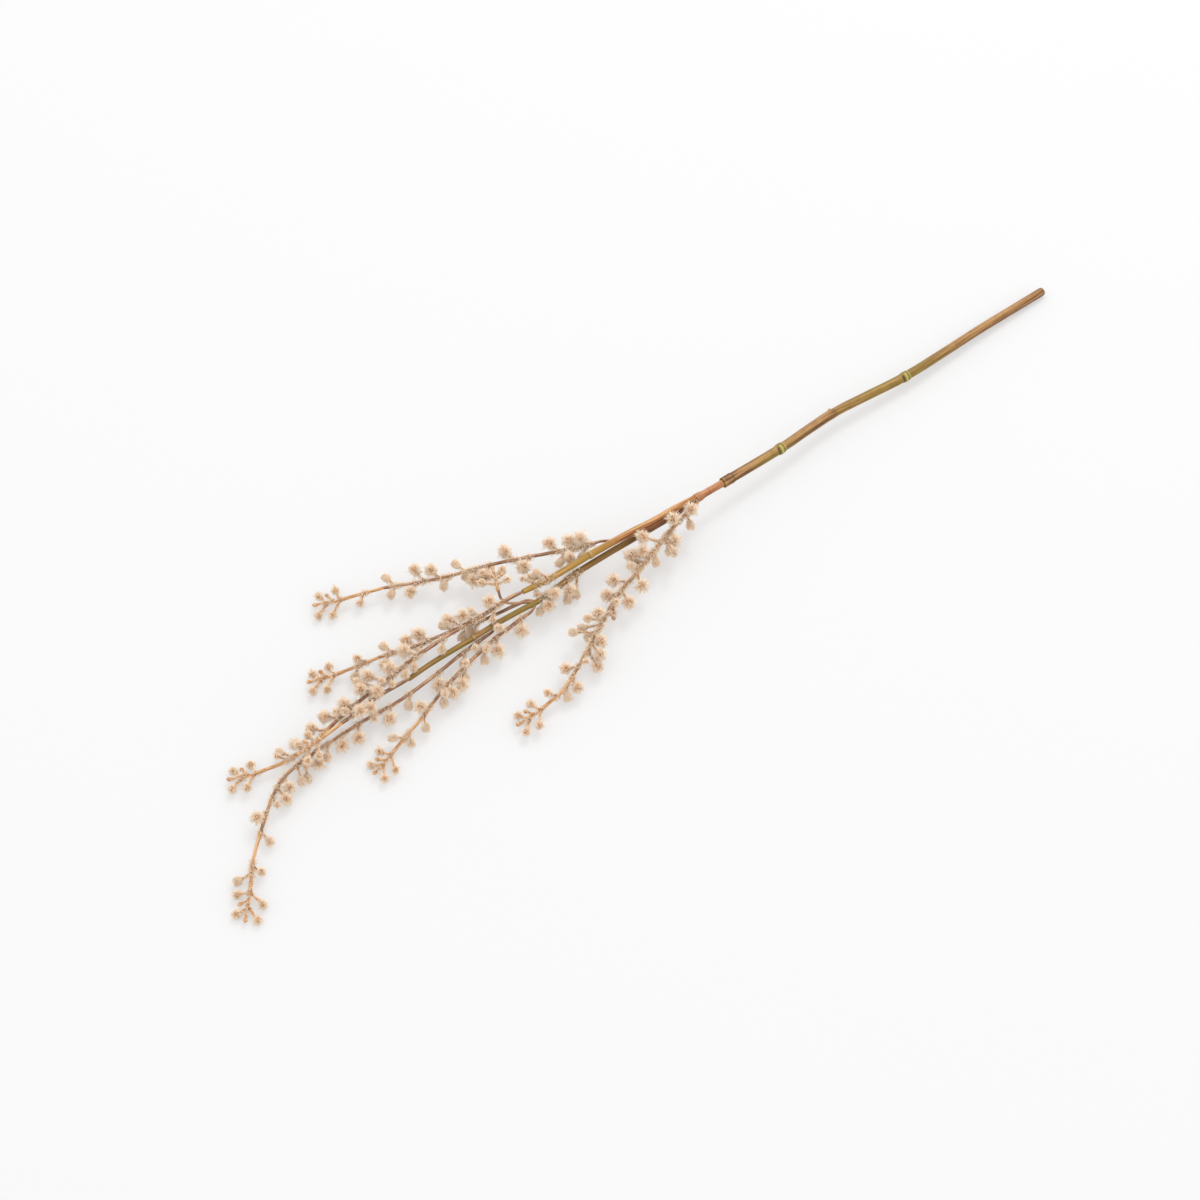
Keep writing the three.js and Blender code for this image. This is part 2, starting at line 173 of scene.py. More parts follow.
class Recipe:
    """One material that is put together node by node."""

    def __init__(self, name: str) -> None:
        """Start a material with its shader.

        Args:
            name: The material's name.
        """
        self.material = bpy.data.materials.new(name)
        self.material.use_nodes = True
        self.tree = self.material.node_tree
        self.shader = self.tree.nodes["Principled BSDF"]

    def _fill(self, node: bpy.types.Node, inputs: dict[str, float | Triple | Colour | Socket]) -> None:
        """Set a node's inputs, or link those that are given a socket.

        Args:
            node: The node.
            inputs: What goes in each input, named with underscores for spaces.
        """
        for name, value in inputs.items():
            socket = node.inputs[name.replace("_", " ")]
            if isinstance(value, Socket):
                self.tree.links.new(value, socket)
            else:
                socket.default_value = value

    def _node(self, kind: str, **inputs: float | Triple | Colour | Socket) -> bpy.types.Node:
        """Return a new node of a kind with its inputs filled."""
        node = self.tree.nodes.new(f"ShaderNode{kind}")
        self._fill(node, inputs)
        return node

    def set(self, **inputs: float | Colour | Socket) -> None:
        """Fill the shader's own inputs, named with underscores for spaces."""
        self._fill(self.shader, inputs)

    def _attribute(self, name: str, output: str) -> Socket:
        """Return an output of a node that reads a mesh attribute."""
        node = self._node("Attribute")
        node.attribute_name = name
        return node.outputs[output]

    def place(self) -> Socket:
        """Return each spot's own place on its piece, in millimetres."""
        return self._attribute("place", "Vector")

    def painted(self, name: str) -> Socket:
        """Return a value that is painted on the mesh."""
        return self._attribute(name, "Fac")

    def on_object(self) -> Socket:
        """Return each spot's place in the object's own metres."""
        return self._node("TexCoord").outputs["Object"]

    def stretched(self, source: Socket, scale: Triple) -> Socket:
        """Return the source's places, scaled along each axis."""
        return self._node("Mapping", Vector=source, Scale=scale).outputs["Vector"]

    def grain(self, places: Socket, scale: float, detail: float = 3.0) -> Socket:
        """Return noise at a scale, from 0 to 1."""
        return self._node("TexNoise", Vector=places, Scale=scale, Detail=detail).outputs["Fac"]

    def spread(self, value: Socket, low: float, high: float, to_low: float = 0.0,
               to_high: float = 1.0) -> Socket:
        """Stretch a value from one range to another, held at both ends.

        Args:
            value: The socket to read.
            low: The value that becomes to_low.
            high: The value that becomes to_high.
            to_low: The first result.
            to_high: The last result.

        Returns:
            The stretched value.
        """
        node = self._node("MapRange", Value=value, From_Min=low, From_Max=high, To_Min=to_low, To_Max=to_high)
        return node.outputs["Result"]

    def times(self, first: Socket, second: Socket) -> Socket:
        """Multiply two values.

        Args:
            first: One value.
            second: The other.

        Returns:
            The product, held between 0 and 1.
        """
        node = self._node("Math")
        node.operation = "MULTIPLY"
        node.use_clamp = True
        for socket, value in zip(node.inputs, (first, second)):
            self.tree.links.new(value, socket)
        return node.outputs["Value"]

    def ramp(self, value: Socket, stops: Ramp) -> Socket:
        """Turn a value into colours.

        Args:
            value: Where on the ramp, 0 to 1.
            stops: Each stop's place and colour, in order.

        Returns:
            The colour.
        """
        node = self._node("ValToRGB", Fac=value)
        elements = node.color_ramp.elements
        while len(elements) < len(stops):
            elements.new(1.0)
        for element, (place, colour) in zip(elements, stops):
            element.position = place
            element.color = colour
        return node.outputs["Color"]

    def over(self, amount: Socket, below: Socket, above: Colour) -> Socket:
        """Lay a plain colour over a pattern.

        Args:
            amount: How much of the colour shows.
            below: The pattern.
            above: The colour.

        Returns:
            The new pattern.
        """
        node = self._node("Mix", Factor=amount)
        node.data_type = "RGBA"
        colours = [socket for socket in node.inputs if socket.type == "RGBA"]
        colours[1].default_value = above
        self.tree.links.new(below, colours[0])
        return next(socket for socket in node.outputs if socket.type == "RGBA")

    def finish(self, colour: Socket, roughness: Socket, height: Socket, depth: float) -> bpy.types.Material:
        """Join the colour, roughness and bump to the shader.

        Args:
            colour: The surface colour.
            roughness: The roughness.
            height: The bump's height, 0 to 1.
            depth: The bump's depth in millimetres.

        Returns:
            The finished material.
        """
        bump = self._node("Bump", Distance=depth * MM, Height=height)
        self.set(Base_Color=colour, Roughness=roughness, Normal=bump.outputs["Normal"])
        return self.material


@dataclass(frozen=True)
class StemPlastic:
    """Moulded stem plastic: long streaks in the grain, with olive, dark and cream parts painted on."""

    name: str
    deep: Colour
    body: Colour
    pale: Colour
    olive: Colour
    scar: Colour
    cream: Colour
    roughness: tuple[float, float] = (0.4, 0.56)
    shine: float = 0.42
    streak_stops: Triple = (0.38, 0.5, 0.62)
    streak_length: float = 26.0
    streak_grain: float = 0.55
    hairline_grain: float = 2.2
    hairline_strength: float = 0.6
    blotch_grain: float = 0.22
    speck_grain: float = 1.3
    mottle: float = 0.3
    bump_depth: float = 0.05

    def build(self) -> bpy.types.Material:
        """Mix the streaks, then lay each painted part over them.

        Returns:
            The material.
        """
        recipe = Recipe(self.name)
        recipe.set(Specular_IOR_Level=self.shine)
        place = recipe.place()
        long_grain = recipe.stretched(place, (1.0, 1.0, 1.0 / self.streak_length))
        streaks = recipe.grain(long_grain, self.streak_grain, 4.0)
        hairlines = recipe.grain(long_grain, self.hairline_grain)
        blotches = recipe.grain(place, self.blotch_grain, 4.0)
        specks = recipe.grain(place, self.speck_grain)
        colour = recipe.ramp(streaks, list(zip(self.streak_stops, (self.deep, self.body, self.pale))))
        thin_lines = recipe.spread(hairlines, 0.52, 0.68, 0.0, self.hairline_strength)
        colour = recipe.over(thin_lines, colour, self.pale)
        green = recipe.times(recipe.painted("olive"), recipe.spread(streaks, 0.36, 0.58, 1.0, 0.35))
        colour = recipe.over(green, colour, self.olive)
        colour = recipe.over(recipe.spread(blotches, 0.5, 0.75, 0.0, self.mottle), colour, self.deep)
        worn = recipe.times(recipe.painted("scar"), recipe.spread(specks, 0.3, 0.6, 0.55, 1.0))
        colour = recipe.over(worn, colour, self.scar)
        colour = recipe.over(recipe.painted("cream"), colour, self.cream)
        rough = recipe.spread(hairlines, 0.3, 0.7, *self.roughness)
        return recipe.finish(colour, rough, hairlines, self.bump_depth)


@dataclass(frozen=True)
class BudCorePlastic:
    """The bud's own moulded body, speckled brown where the flock is thin."""

    name: str
    dark: Colour
    middle: Colour
    light: Colour
    roughness: tuple[float, float] = (0.75, 0.95)
    shine: float = 0.25
    grain_size: float = 1.1
    dust_grain: float = 3.3
    dust_strength: float = 0.6
    bump_depth: float = 0.12

    def build(self) -> bpy.types.Material:
        """Mix the specks and dust a pale tone over them.

        Returns:
            The material.
        """
        recipe = Recipe(self.name)
        recipe.set(Specular_IOR_Level=self.shine)
        place = recipe.place()
        specks = recipe.grain(place, self.grain_size)
        dust = recipe.grain(place, self.dust_grain, 2.0)
        colour = recipe.ramp(specks, [(0.36, self.dark), (0.5, self.middle), (0.64, self.light)])
        colour = recipe.over(recipe.spread(dust, 0.55, 0.7, 0.0, self.dust_strength), colour, self.light)
        rough = recipe.spread(dust, 0.3, 0.7, *self.roughness)
        return recipe.finish(colour, rough, specks, self.bump_depth)


@dataclass(frozen=True)
class FlockFibre:
    """Cut nylon flock: darker at the root, cream at the tip, with some fibres tan."""

    name: str
    root: Colour
    tip: Colour
    tan: Colour
    sheen: float = 0.35
    root_share: float = 0.3
    tan_strength: float = 0.9

    def build(self) -> bpy.types.Material:
        """Colour the fibres by their length and tone, with no bump, which so thin a rod can't show.

        Returns:
            The material.
        """
        recipe = Recipe(self.name)
        recipe.set(Specular_IOR_Level=0.2, Sheen_Weight=self.sheen, Sheen_Roughness=0.5, Sheen_Tint=self.tip)
        tone = recipe.painted("tone")
        colour = recipe.ramp(recipe.painted("along"), [(0.0, self.root), (self.root_share, self.tip)])
        colour = recipe.over(recipe.spread(tone, 0.6, 0.9, 0.0, self.tan_strength), colour, self.tan)
        recipe.set(Base_Color=colour, Roughness=recipe.spread(tone, 0.0, 1.0, 0.8, 1.0))
        return recipe.material


CREAM = paint(222, 200, 158)
CANE_PLASTIC = StemPlastic(
    name="cane_plastic", deep=paint(84, 46, 16), body=paint(130, 86, 38), pale=paint(176, 132, 80),
    olive=paint(146, 126, 32), scar=paint(56, 42, 14), cream=paint(180, 176, 92))
NECK_PLASTIC = StemPlastic(
    name="neck_red_plastic", deep=paint(130, 70, 38), body=paint(162, 100, 58), pale=paint(190, 134, 90),
    olive=paint(150, 120, 54), scar=paint(110, 62, 34), cream=CREAM)
UPPER_PLASTIC = StemPlastic(
    name="upper_branch_plastic", deep=paint(118, 66, 26), body=paint(166, 106, 52), pale=paint(206, 156, 102),
    olive=paint(156, 130, 38), scar=paint(92, 62, 30), cream=CREAM)
LOWER_PLASTIC = StemPlastic(
    name="lower_branch_plastic", deep=paint(94, 54, 28), body=paint(130, 82, 44), pale=paint(172, 124, 80),
    olive=paint(132, 116, 30), scar=paint(70, 44, 26), cream=CREAM)
SPRIG_PLASTIC = StemPlastic(
    name="sprig_plastic", deep=paint(116, 78, 56), body=paint(158, 114, 84), pale=paint(202, 162, 126),
    olive=paint(204, 158, 106), scar=paint(88, 58, 38), cream=CREAM,
    roughness=(0.5, 0.7), streak_length=9.0, mottle=0.55, bump_depth=0.08)
STALK_PLASTIC = StemPlastic(
    name="stalk_plastic", deep=paint(150, 106, 78), body=paint(186, 142, 108), pale=paint(214, 178, 142),
    olive=paint(190, 168, 116), scar=paint(104, 70, 46), cream=CREAM,
    roughness=(0.55, 0.75), streak_length=4.0, mottle=0.5, bump_depth=0.08)
TAN_PLASTIC = StemPlastic(
    name="tip_tan_plastic", deep=paint(178, 124, 76), body=paint(208, 160, 110), pale=paint(228, 190, 144),
    olive=paint(196, 168, 110), scar=paint(136, 84, 46), cream=CREAM,
    roughness=(0.45, 0.62), streak_length=8.0, mottle=0.35)
BROWN_CORE = BudCorePlastic("bud_core_brown", paint(112, 68, 38), paint(176, 126, 82), paint(226, 188, 146))
TAN_CORE = BudCorePlastic("bud_core_tan", paint(128, 82, 44), paint(184, 138, 90), paint(228, 194, 150))
FLOCK = FlockFibre("cream_flock", paint(234, 188, 144), paint(255, 239, 217), paint(240, 192, 146))


# ---- Reading the frame ----


@dataclass(frozen=True)
class Station:
    """A place on a centre line, with its own directions."""

    point: Vector
    forward: Vector
    right: Vector
    up: Vector

    def side(self, hour: float) -> Vector:
        """Return the unit direction of a clock hour, seen from the root."""
        angle = hour / HOURS * FULL_TURN
        return self.right * math.sin(angle) + self.up * math.cos(angle)

    def around(self, hour: float, reach: float) -> Vector:
        """Return the point at a clock hour and a reach from the centre line."""
        return self.point + self.side(hour) * reach


@dataclass
class CentreLine:
    """A smooth curve through a tube's ring centres, with the tube's radius along it."""

    centres: list[Vector]
    ring_radii: list[float]
    step: float = 0.5
    points: list[Vector] = field(default_factory=list)
    marks: list[float] = field(default_factory=list)
    ring_places: list[float] = field(default_factory=list)

    def __post_init__(self) -> None:
        """Walk the curve in small steps."""
        self.points = [self.centres[0].copy()]
        self.marks = [0.0]
        self.ring_places = [0.0]
        for index in range(len(self.centres) - 1):
            self._walk(index)
            self.ring_places.append(self.marks[-1])

    def _slope(self, index: int) -> Vector:
        """Blend the directions of the spans before and after a ring.

        Args:
            index: The ring's number.

        Returns:
            The curve's unit direction there.
        """
        before = self.centres[max(index - 1, 0)]
        here = self.centres[index]
        after = self.centres[min(index + 1, len(self.centres) - 1)]
        first, second = here - before, after - here
        if first.length < self.step or second.length < self.step:
            return (after - before).normalized()
        blended = first.normalized() / first.length + second.normalized() / second.length
        return blended.normalized()

    def _walk(self, index: int) -> None:
        """Add the small steps from one ring to the next.

        Args:
            index: The first ring's number.
        """
        start, end = self.centres[index], self.centres[index + 1]
        span = (end - start).length
        count = max(int(span / self.step), 1)
        leave, arrive = self._slope(index) * span, self._slope(index + 1) * span
        for number in range(1, count + 1):
            t = number / count
            t2, t3 = t * t, t * t * t
            point = (start * (2 * t3 - 3 * t2 + 1) + leave * (t3 - 2 * t2 + t)
                     + end * (3 * t2 - 2 * t3) + arrive * (t3 - t2))
            self.marks.append(self.marks[-1] + (point - self.points[-1]).length)
            self.points.append(point)

    @property
    def length(self) -> float:
        """Return the length of the curve."""
        return self.marks[-1]

    def at(self, distance: float) -> Station:
        """Return the station at a distance from the root, straight on past both ends.

        Args:
            distance: How far along.

        Returns:
            The point and its directions.
        """
        last = len(self.points) - 2
        index = min(max(int(distance / self.length * (last + 1)), 0), last)
        while index < last and self.marks[index + 1] < distance:
            index += 1
        while index > 0 and self.marks[index] > distance:
            index -= 1
        low, high = max(index - 1, 0), min(index + 2, last + 1)
        forward = (self.points[high] - self.points[low]).normalized()
        chord = self.points[index + 1] - self.points[index]
        share = (distance - self.marks[index]) / (self.marks[index + 1] - self.marks[index])
        point = self.points[index] + chord * share
        right = forward.cross(SKY).normalized()
        return Station(point, forward, right, right.cross(forward))

    def radius(self, distance: float) -> float:
        """Read the tube's radius between its rings.

        Args:
            distance: How far along.

        Returns:
            The radius there, or at the nearer end.
        """
        spans = zip(self.ring_places, self.ring_places[1:], self.ring_radii, self.ring_radii[1:])
        if distance <= 0.0:
            return self.ring_radii[0]
        for start, end, before, after in spans:
            if distance <= end:
                share = (distance - start) / (end - start)
                return before * (1 - share) + after * share
        return self.ring_radii[-1]

    def nearest_to_ray(self, start: Vector, direction: Vector) -> float:
        """Find where the curve comes closest to a ray.

        Args:
            start: Where the ray starts.
            direction: Its unit direction.

        Returns:
            The distance from the root.
        """
        best, place = math.inf, 0.0
        for mark, point in zip(self.marks, self.points):
            offset = point - start
            ahead = offset.dot(direction)
            gap = (offset - direction * ahead).length_squared
            if ahead > 0.0 and gap < best:
                best, place = gap, mark
        return place

    def swellings(self, least: float) -> list[float]:
        """Return where the radius jumps up from one ring to the next by more than a share."""
        radii = self.ring_radii
        found = [i for i in range(2, len(radii)) if radii[i] > radii[i - 1] * (1.0 + least)]
        return [self.ring_places[i] for i in found]


class BudKind(Enum):
    """What a bud looks like."""

    ROUND = "round flocked bud"
    POD = "long flocked pod"
    BARE = "small bare bud"


@dataclass(frozen=True)
class Bud:
    """One bud as the frame holds it, and where its stalk leaves the stem."""

    centre: Vector
    axis: Vector
    half_width: float
    half_length: float
    root: Station
    root_place: float

    @property
    def kind(self) -> BudKind:
        """Tell the kind from how slender the bud is.

        Returns:
            The bud's kind.
        """
        slender = self.half_length / self.half_width
        if slender > LEAST_POD_SLENDER:
            return BudKind.POD
        return BudKind.BARE if slender > LEAST_BARE_SLENDER else BudKind.ROUND


class FrameReader:
    """Reads tubes and buds from the frame's plain solids."""

    apex_share = 0.58
    least_apex = 0.5
    most_sides = 5
    least_ring_step = 0.2
    same_length = 0.03
    flat = 0.999

    def __init__(self, nodes: dict[str, bpy.types.Object]) -> None:
        """Keep the frame's nodes.

        Args:
            nodes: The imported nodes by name.
        """
        self.nodes = nodes

    def _welded(self, name: str) -> bmesh.types.BMesh:
        """Join the shared corners of a node's mesh.

        Args:
            name: The node.

        Returns:
            The joined mesh, in metres.
        """
        mesh = bmesh.new()
        mesh.from_mesh(self.nodes[name].data)
        bmesh.ops.remove_doubles(mesh, verts=mesh.verts, dist=WELD_METRES)
        mesh.normal_update()
        return mesh

    def _is_cap_centre(self, vertex: bmesh.types.BMVert) -> bool:
        """Tell whether a vertex is the middle of a flat end."""
        first = vertex.link_faces[0].normal
        return all(first.dot(face.normal) > self.flat for face in vertex.link_faces)

    def tube(self, name: str, root_near: Vector) -> CentreLine:
        """Read a tube's centre line, starting at the end nearest a point.

        Args:
            name: The node.
            root_near: A point in millimetres near the tube's root.

        Returns:
            The centre line.
        """
        mesh = self._welded(name)
        caps = [vertex for vertex in mesh.verts if self._is_cap_centre(vertex)]
        start = max(caps, key=lambda vertex: vertex.co.x)
        layer, seen = [start], {start}
        centres, radii = [], []
        while layer:
            after = {edge.other_vert(vertex) for vertex in layer for edge in vertex.link_edges} - seen
            seen |= after
            layer = sorted(after, key=lambda vertex: vertex.index)
            if len(layer) < 3:
                break
            centre = sum((vertex.co for vertex in layer), Vector()) / len(layer)
            if centres and (centre / MM - centres[-1]).length < self.least_ring_step:
                break
            centres.append(centre / MM)
            radii.append(sum((vertex.co - centre).length for vertex in layer) / len(layer) / MM)
        mesh.free()
        if (centres[-1] - root_near).length < (centres[0] - root_near).length:
            centres.reverse()
            radii.reverse()
        return CentreLine(centres, radii)

    def buds(self, name: str, line: CentreLine) -> list[Bud]:
        """Find the buds of a node by the regular ring round each bud's tip.

        Args:
            name: The node.
            line: The stem or spray axis that their stalks leave.

        Returns:
            The buds, in order along the line.
        """
        mesh = self._welded(name)
        found = []
        for vertex in mesh.verts:
            ring = [edge.other_vert(vertex).co / MM for edge in vertex.link_edges]
            tip = vertex.co / MM
            centre = sum(ring, Vector()) / len(ring)
            edges = [(point - tip).length for point in ring]
            widths = [(point - centre).length for point in ring]
            height = (tip - centre).length
            regular = all(max(sizes) - min(sizes) < self.same_length for sizes in (edges, widths))
            if len(ring) > self.most_sides or height < self.least_apex or not regular:
                continue
            axis = (tip - centre).normalized()
            half_length = height / self.apex_share
            middle = tip - axis * half_length
            place = line.nearest_to_ray(middle, -axis)
            found.append(Bud(middle, axis, sum(widths) / len(widths), half_length, line.at(place), place))
        mesh.free()
        return sorted(found, key=lambda bud: (bud.root_place, bud.centre.x))


# ---- Mesh making ----


@dataclass(frozen=True)
class Tint:
    """How much of each painted colour a spot carries."""

    olive: float = 0.0
    scar: float = 0.0
    cream: float = 0.0


@dataclass
class Moulding:
    """A mesh in the making: vertices in millimetres, faces, and painted values per vertex."""

    name: str
    vertices: list[Vector] = field(default_factory=list)
    faces: list[tuple[int, ...]] = field(default_factory=list)
    face_finish: list[int] = field(default_factory=list)
    places: list[Triple] = field(default_factory=list)
    tints: list[Tint] = field(default_factory=list)

    def vertex(self, point: Vector, place: Triple, tint: Tint = Tint()) -> int:
        """Add a vertex.

        Args:
            point: Where it is.
            place: Its own place, which the patterns follow.
            tint: Its painted colours.

        Returns:
            Its number.
        """
        self.vertices.append(point)
        self.places.append(place)
        self.tints.append(tint)
        return len(self.vertices) - 1

    def face(self, corners: Iterable[int], finish: int = 0) -> None:
        """Add a face that wears a finish by its number."""
        self.faces.append(tuple(corners))
        self.face_finish.append(finish)

    def skin(self, rings: list[list[int]], finish: int = 0) -> None:
        """Join rings of the same count into a tube.

        Args:
            rings: The vertex numbers of each ring, root first.
            finish: The finish's number.
        """
        for first, second in zip(rings, rings[1:]):
            count = len(first)
            for side in range(count):
                after = (side + 1) % count
                self.face((first[side], first[after], second[after], second[side]), finish)

    def fan(self, ring: list[int], middle: int, at_root: bool, finish: int = 0) -> None:
        """Close a ring with a fan of triangles.

        Args:
            ring: The ring's vertex numbers.
            middle: The middle vertex's number.
            at_root: Whether this is the root end, where the triangles turn the other way.
            finish: The finish's number.
        """
        for first, second in zip(ring, [*ring[1:], ring[0]]):
            self.face((second, first, middle) if at_root else (first, second, middle), finish)

    def build(self, materials: list[bpy.types.Material]) -> bpy.types.Object:
        """Make the object, in metres.

        Args:
            materials: The materials by finish number.

        Returns:
            The new object, in the scene.
        """
        mesh = bpy.data.meshes.new(self.name)
        mesh.from_pydata([point * MM for point in self.vertices], [], self.faces)
        for material in materials:
            mesh.materials.append(material)
        mesh.polygons.foreach_set("material_index", self.face_finish)
        mesh.polygons.foreach_set("use_smooth", [True] * len(self.faces))
        place = mesh.attributes.new("place", "FLOAT_VECTOR", "POINT")
        place.data.foreach_set("vector", [number for spot in self.places for number in spot])
        for name in ("olive", "scar", "cream"):
            point_values(mesh, name, [getattr(tint, name) for tint in self.tints])
        mesh.update()
        return add_object(self.name, mesh)


RadiusRule = Callable[[float, float], float]
TintRule = Callable[[float, float], Tint]


@dataclass
class StemSkin:
    """A closed skin lofted round a centre line, with its own radius and paint at every spot."""

    line: CentreLine
    radius: RadiusRule
    tint: TintRule
    sides: int
    end_round: float = 0.35
    end_share: float = 0.72

    def ring(self, moulding: Moulding, place: float, share: float = 1.0, slide: float = 0.0) -> list[int]:
        """Add one ring of vertices.

        Args:
            moulding: The mesh in the making.
            place: The distance along the line.
            share: How much of the full radius the ring has.
            slide: How far the ring is moved along the line, for rounded or hollow ends.

        Returns:
            The ring's vertex numbers.
        """
        station = self.line.at(place + slide)
        ring = []
        for side in range(self.sides):
            hour = side / self.sides * HOURS
            angle = side / self.sides * FULL_TURN
            reach = self.radius(place, hour) * share
            spot = (reach * math.sin(angle), reach * math.cos(angle), place)
            ring.append(moulding.vertex(station.around(hour, reach), spot, self.tint(place, hour)))
        return ring

    def add_to(self, moulding: Moulding, places: list[float], finish: int = 0) -> None:
        """Loft the skin through the given places and close both ends roundly.

        Args:
            moulding: The mesh in the making.
            places: The distances of the rings, rising.
            finish: The finish's number.
        """
        first, last = places[0], places[-1]
        rings = [self.ring(moulding, first, self.end_share), self.ring(moulding, first, 1.0, self.end_round)]
        rings += [self.ring(moulding, place) for place in places[1:-1] if first + self.end_round < place]
        rings += [self.ring(moulding, last, 1.0, -self.end_round), self.ring(moulding, last, self.end_share)]
        moulding.skin(rings, finish)
        for ring, place, at_root in ((rings[0], first, True), (rings[-1], last, False)):
            middle = moulding.vertex(self.line.at(place).point, (0.0, 0.0, place), self.tint(place, 0.0))
            moulding.fan(ring, middle, at_root, finish)


def crowded_places(start: float, end: float, step: float, spots: Iterable[float], reach: float,
                   fine: float) -> list[float]:
    """Return rising distances that stand closer together near some spots.

    Args:
        start: The first distance.
        end: The last distance.
        step: The usual gap.
        spots: Where finer detail stands.
        reach: How far before and after a spot the gap is fine.
        fine: The fine gap.

    Returns:
        The distances.
    """
    spots = list(spots)
    places = [start]
    while places[-1] < end:
        near = any(abs(places[-1] - spot) < reach for spot in spots)
        places.append(places[-1] + (fine if near else step))
    places[-1] = end
    return places


class Workshop:
    """Builds each finish once and puts every finished piece on the object."""

    def __init__(self) -> None:
        """Start with no finishes built."""
        self.materials: dict[str, bpy.types.Material] = {}

    def material(self, finish: StemPlastic | BudCorePlastic | FlockFibre) -> bpy.types.Material:
        """Return a finish's material, building it the first time."""
        if finish.name not in self.materials:
            self.materials[finish.name] = finish.build()
        return self.materials[finish.name]

    def mount(self, piece: bpy.types.Object, slot: str, stands_for: str | None = None) -> None:
        """Put a piece on the object.

        Args:
            piece: The finished piece.
            slot: Not used.
            stands_for: The plain solid that it replaces, if any.
        """
        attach(piece, BODY)
        if stands_for:
            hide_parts(stands_for)
        LOG.info("%s: %d faces", piece.name, len(piece.data.polygons))


# ---- Buds ----


@dataclass
class FlockCoat:
    """Loose flock fibres, each a slim three-sided rod with a blunt end and a tone of its own."""

    name: str
    draw: random.Random
    thickness: float = 0.15
    thickness_spread: tuple[float, float] = (0.6, 1.5)
    end_share: float = 0.8
    floor_gap: float = 0.02
    tone_span: float = 0.97
    strip_width: float = 0.004
    strip_span: tuple[float, float] = (0.02, 0.98)
    tip_height: float = 0.01
    vertices: list[Triple] = field(default_factory=list)
    faces: list[tuple[int, ...]] = field(default_factory=list)
    tones: list[float] = field(default_factory=list)

    def fibre(self, root: Vector, direction: Vector, length: float) -> None:
        """Add one fibre.

        Args:
            root: Where it is stuck on.
            direction: Its unit direction.
            length: Its length.
        """
        across = direction.orthogonal().normalized()
        beside = direction.cross(across)
        thick = self.thickness * self.draw.uniform(*self.thickness_spread)
        first = len(self.vertices)
        for place, radius in ((root, thick), (root + direction * length, thick * self.end_share)):
            for corner in range(3):
                angle = corner / 3.0 * FULL_TURN
                spot = place + (across * math.cos(angle) + beside * math.sin(angle)) * radius
                spot.z = max(spot.z, self.floor_gap)
                self.vertices.append(tuple(spot * MM))
        low, high = (first, first + 1, first + 2), (first + 3, first + 4, first + 5)
        self.faces += [(low[0], low[1], high[1], high[0]), (low[1], low[2], high[2], high[1]),
                       (low[2], low[0], high[0], high[2]), high]
        self.tones.append(self.draw.random())

    def coat(self, root: Vector, outward: Vector, lean: Vector, length: float, wildness: float) -> None:
        """Add a fibre that stands out from a surface.

        Args:
            root: Where it is stuck on.
            outward: The surface's unit normal.
            lean: What is added to the normal to comb the fibre.
            length: Its length.
            wildness: How much it strays at random.
        """
        stray = Vector([self.draw.gauss(0, 1) for _ in range(3)]) * wildness
        self.fibre(root, (outward + lean + stray).normalized(), length)

    def _map_corners(self, tone: float) -> list[float]:
        """Lay out one fibre on the bake map.

        Args:
            tone: The fibre's tone, which is its place across the map.

        Returns:
            The corners' places: a narrow upright strip for the sides, and its top for the tip.
        """
        foot, head = self.strip_span
        marks = [tone * self.tone_span + self.strip_width * step for step in range(4)]
        corners = []
        for left, right in zip(marks, marks[1:]):
            corners += [left, foot, right, foot, right, head, left, head]
        return corners + [marks[0], head, marks[1], head, marks[0], head + self.tip_height]

    def build(self, material: bpy.types.Material) -> bpy.types.Object:
        """Make the object with its tones, its lengthwise values and its bake map.

        Args:
            material: The flock's material.

        Returns:
            The new object.
        """
        count = len(self.tones)
        mesh = bpy.data.meshes.new(self.name)
        mesh.from_pydata(self.vertices, [], self.faces)
        mesh.materials.append(material)
        mesh.polygons.foreach_set("use_smooth", [True, True, True, False] * count)
        point_values(mesh, "tone", [tone for tone in self.tones for _ in range(6)])
        point_values(mesh, "along", [0.0, 0.0, 0.0, 1.0, 1.0, 1.0] * count)
        corners = [number for tone in self.tones for number in self._map_corners(tone)]
        mesh.uv_layers.new(name="OFBake").data.foreach_set("uv", corners)
        mesh.update()
        return add_object(self.name, mesh)


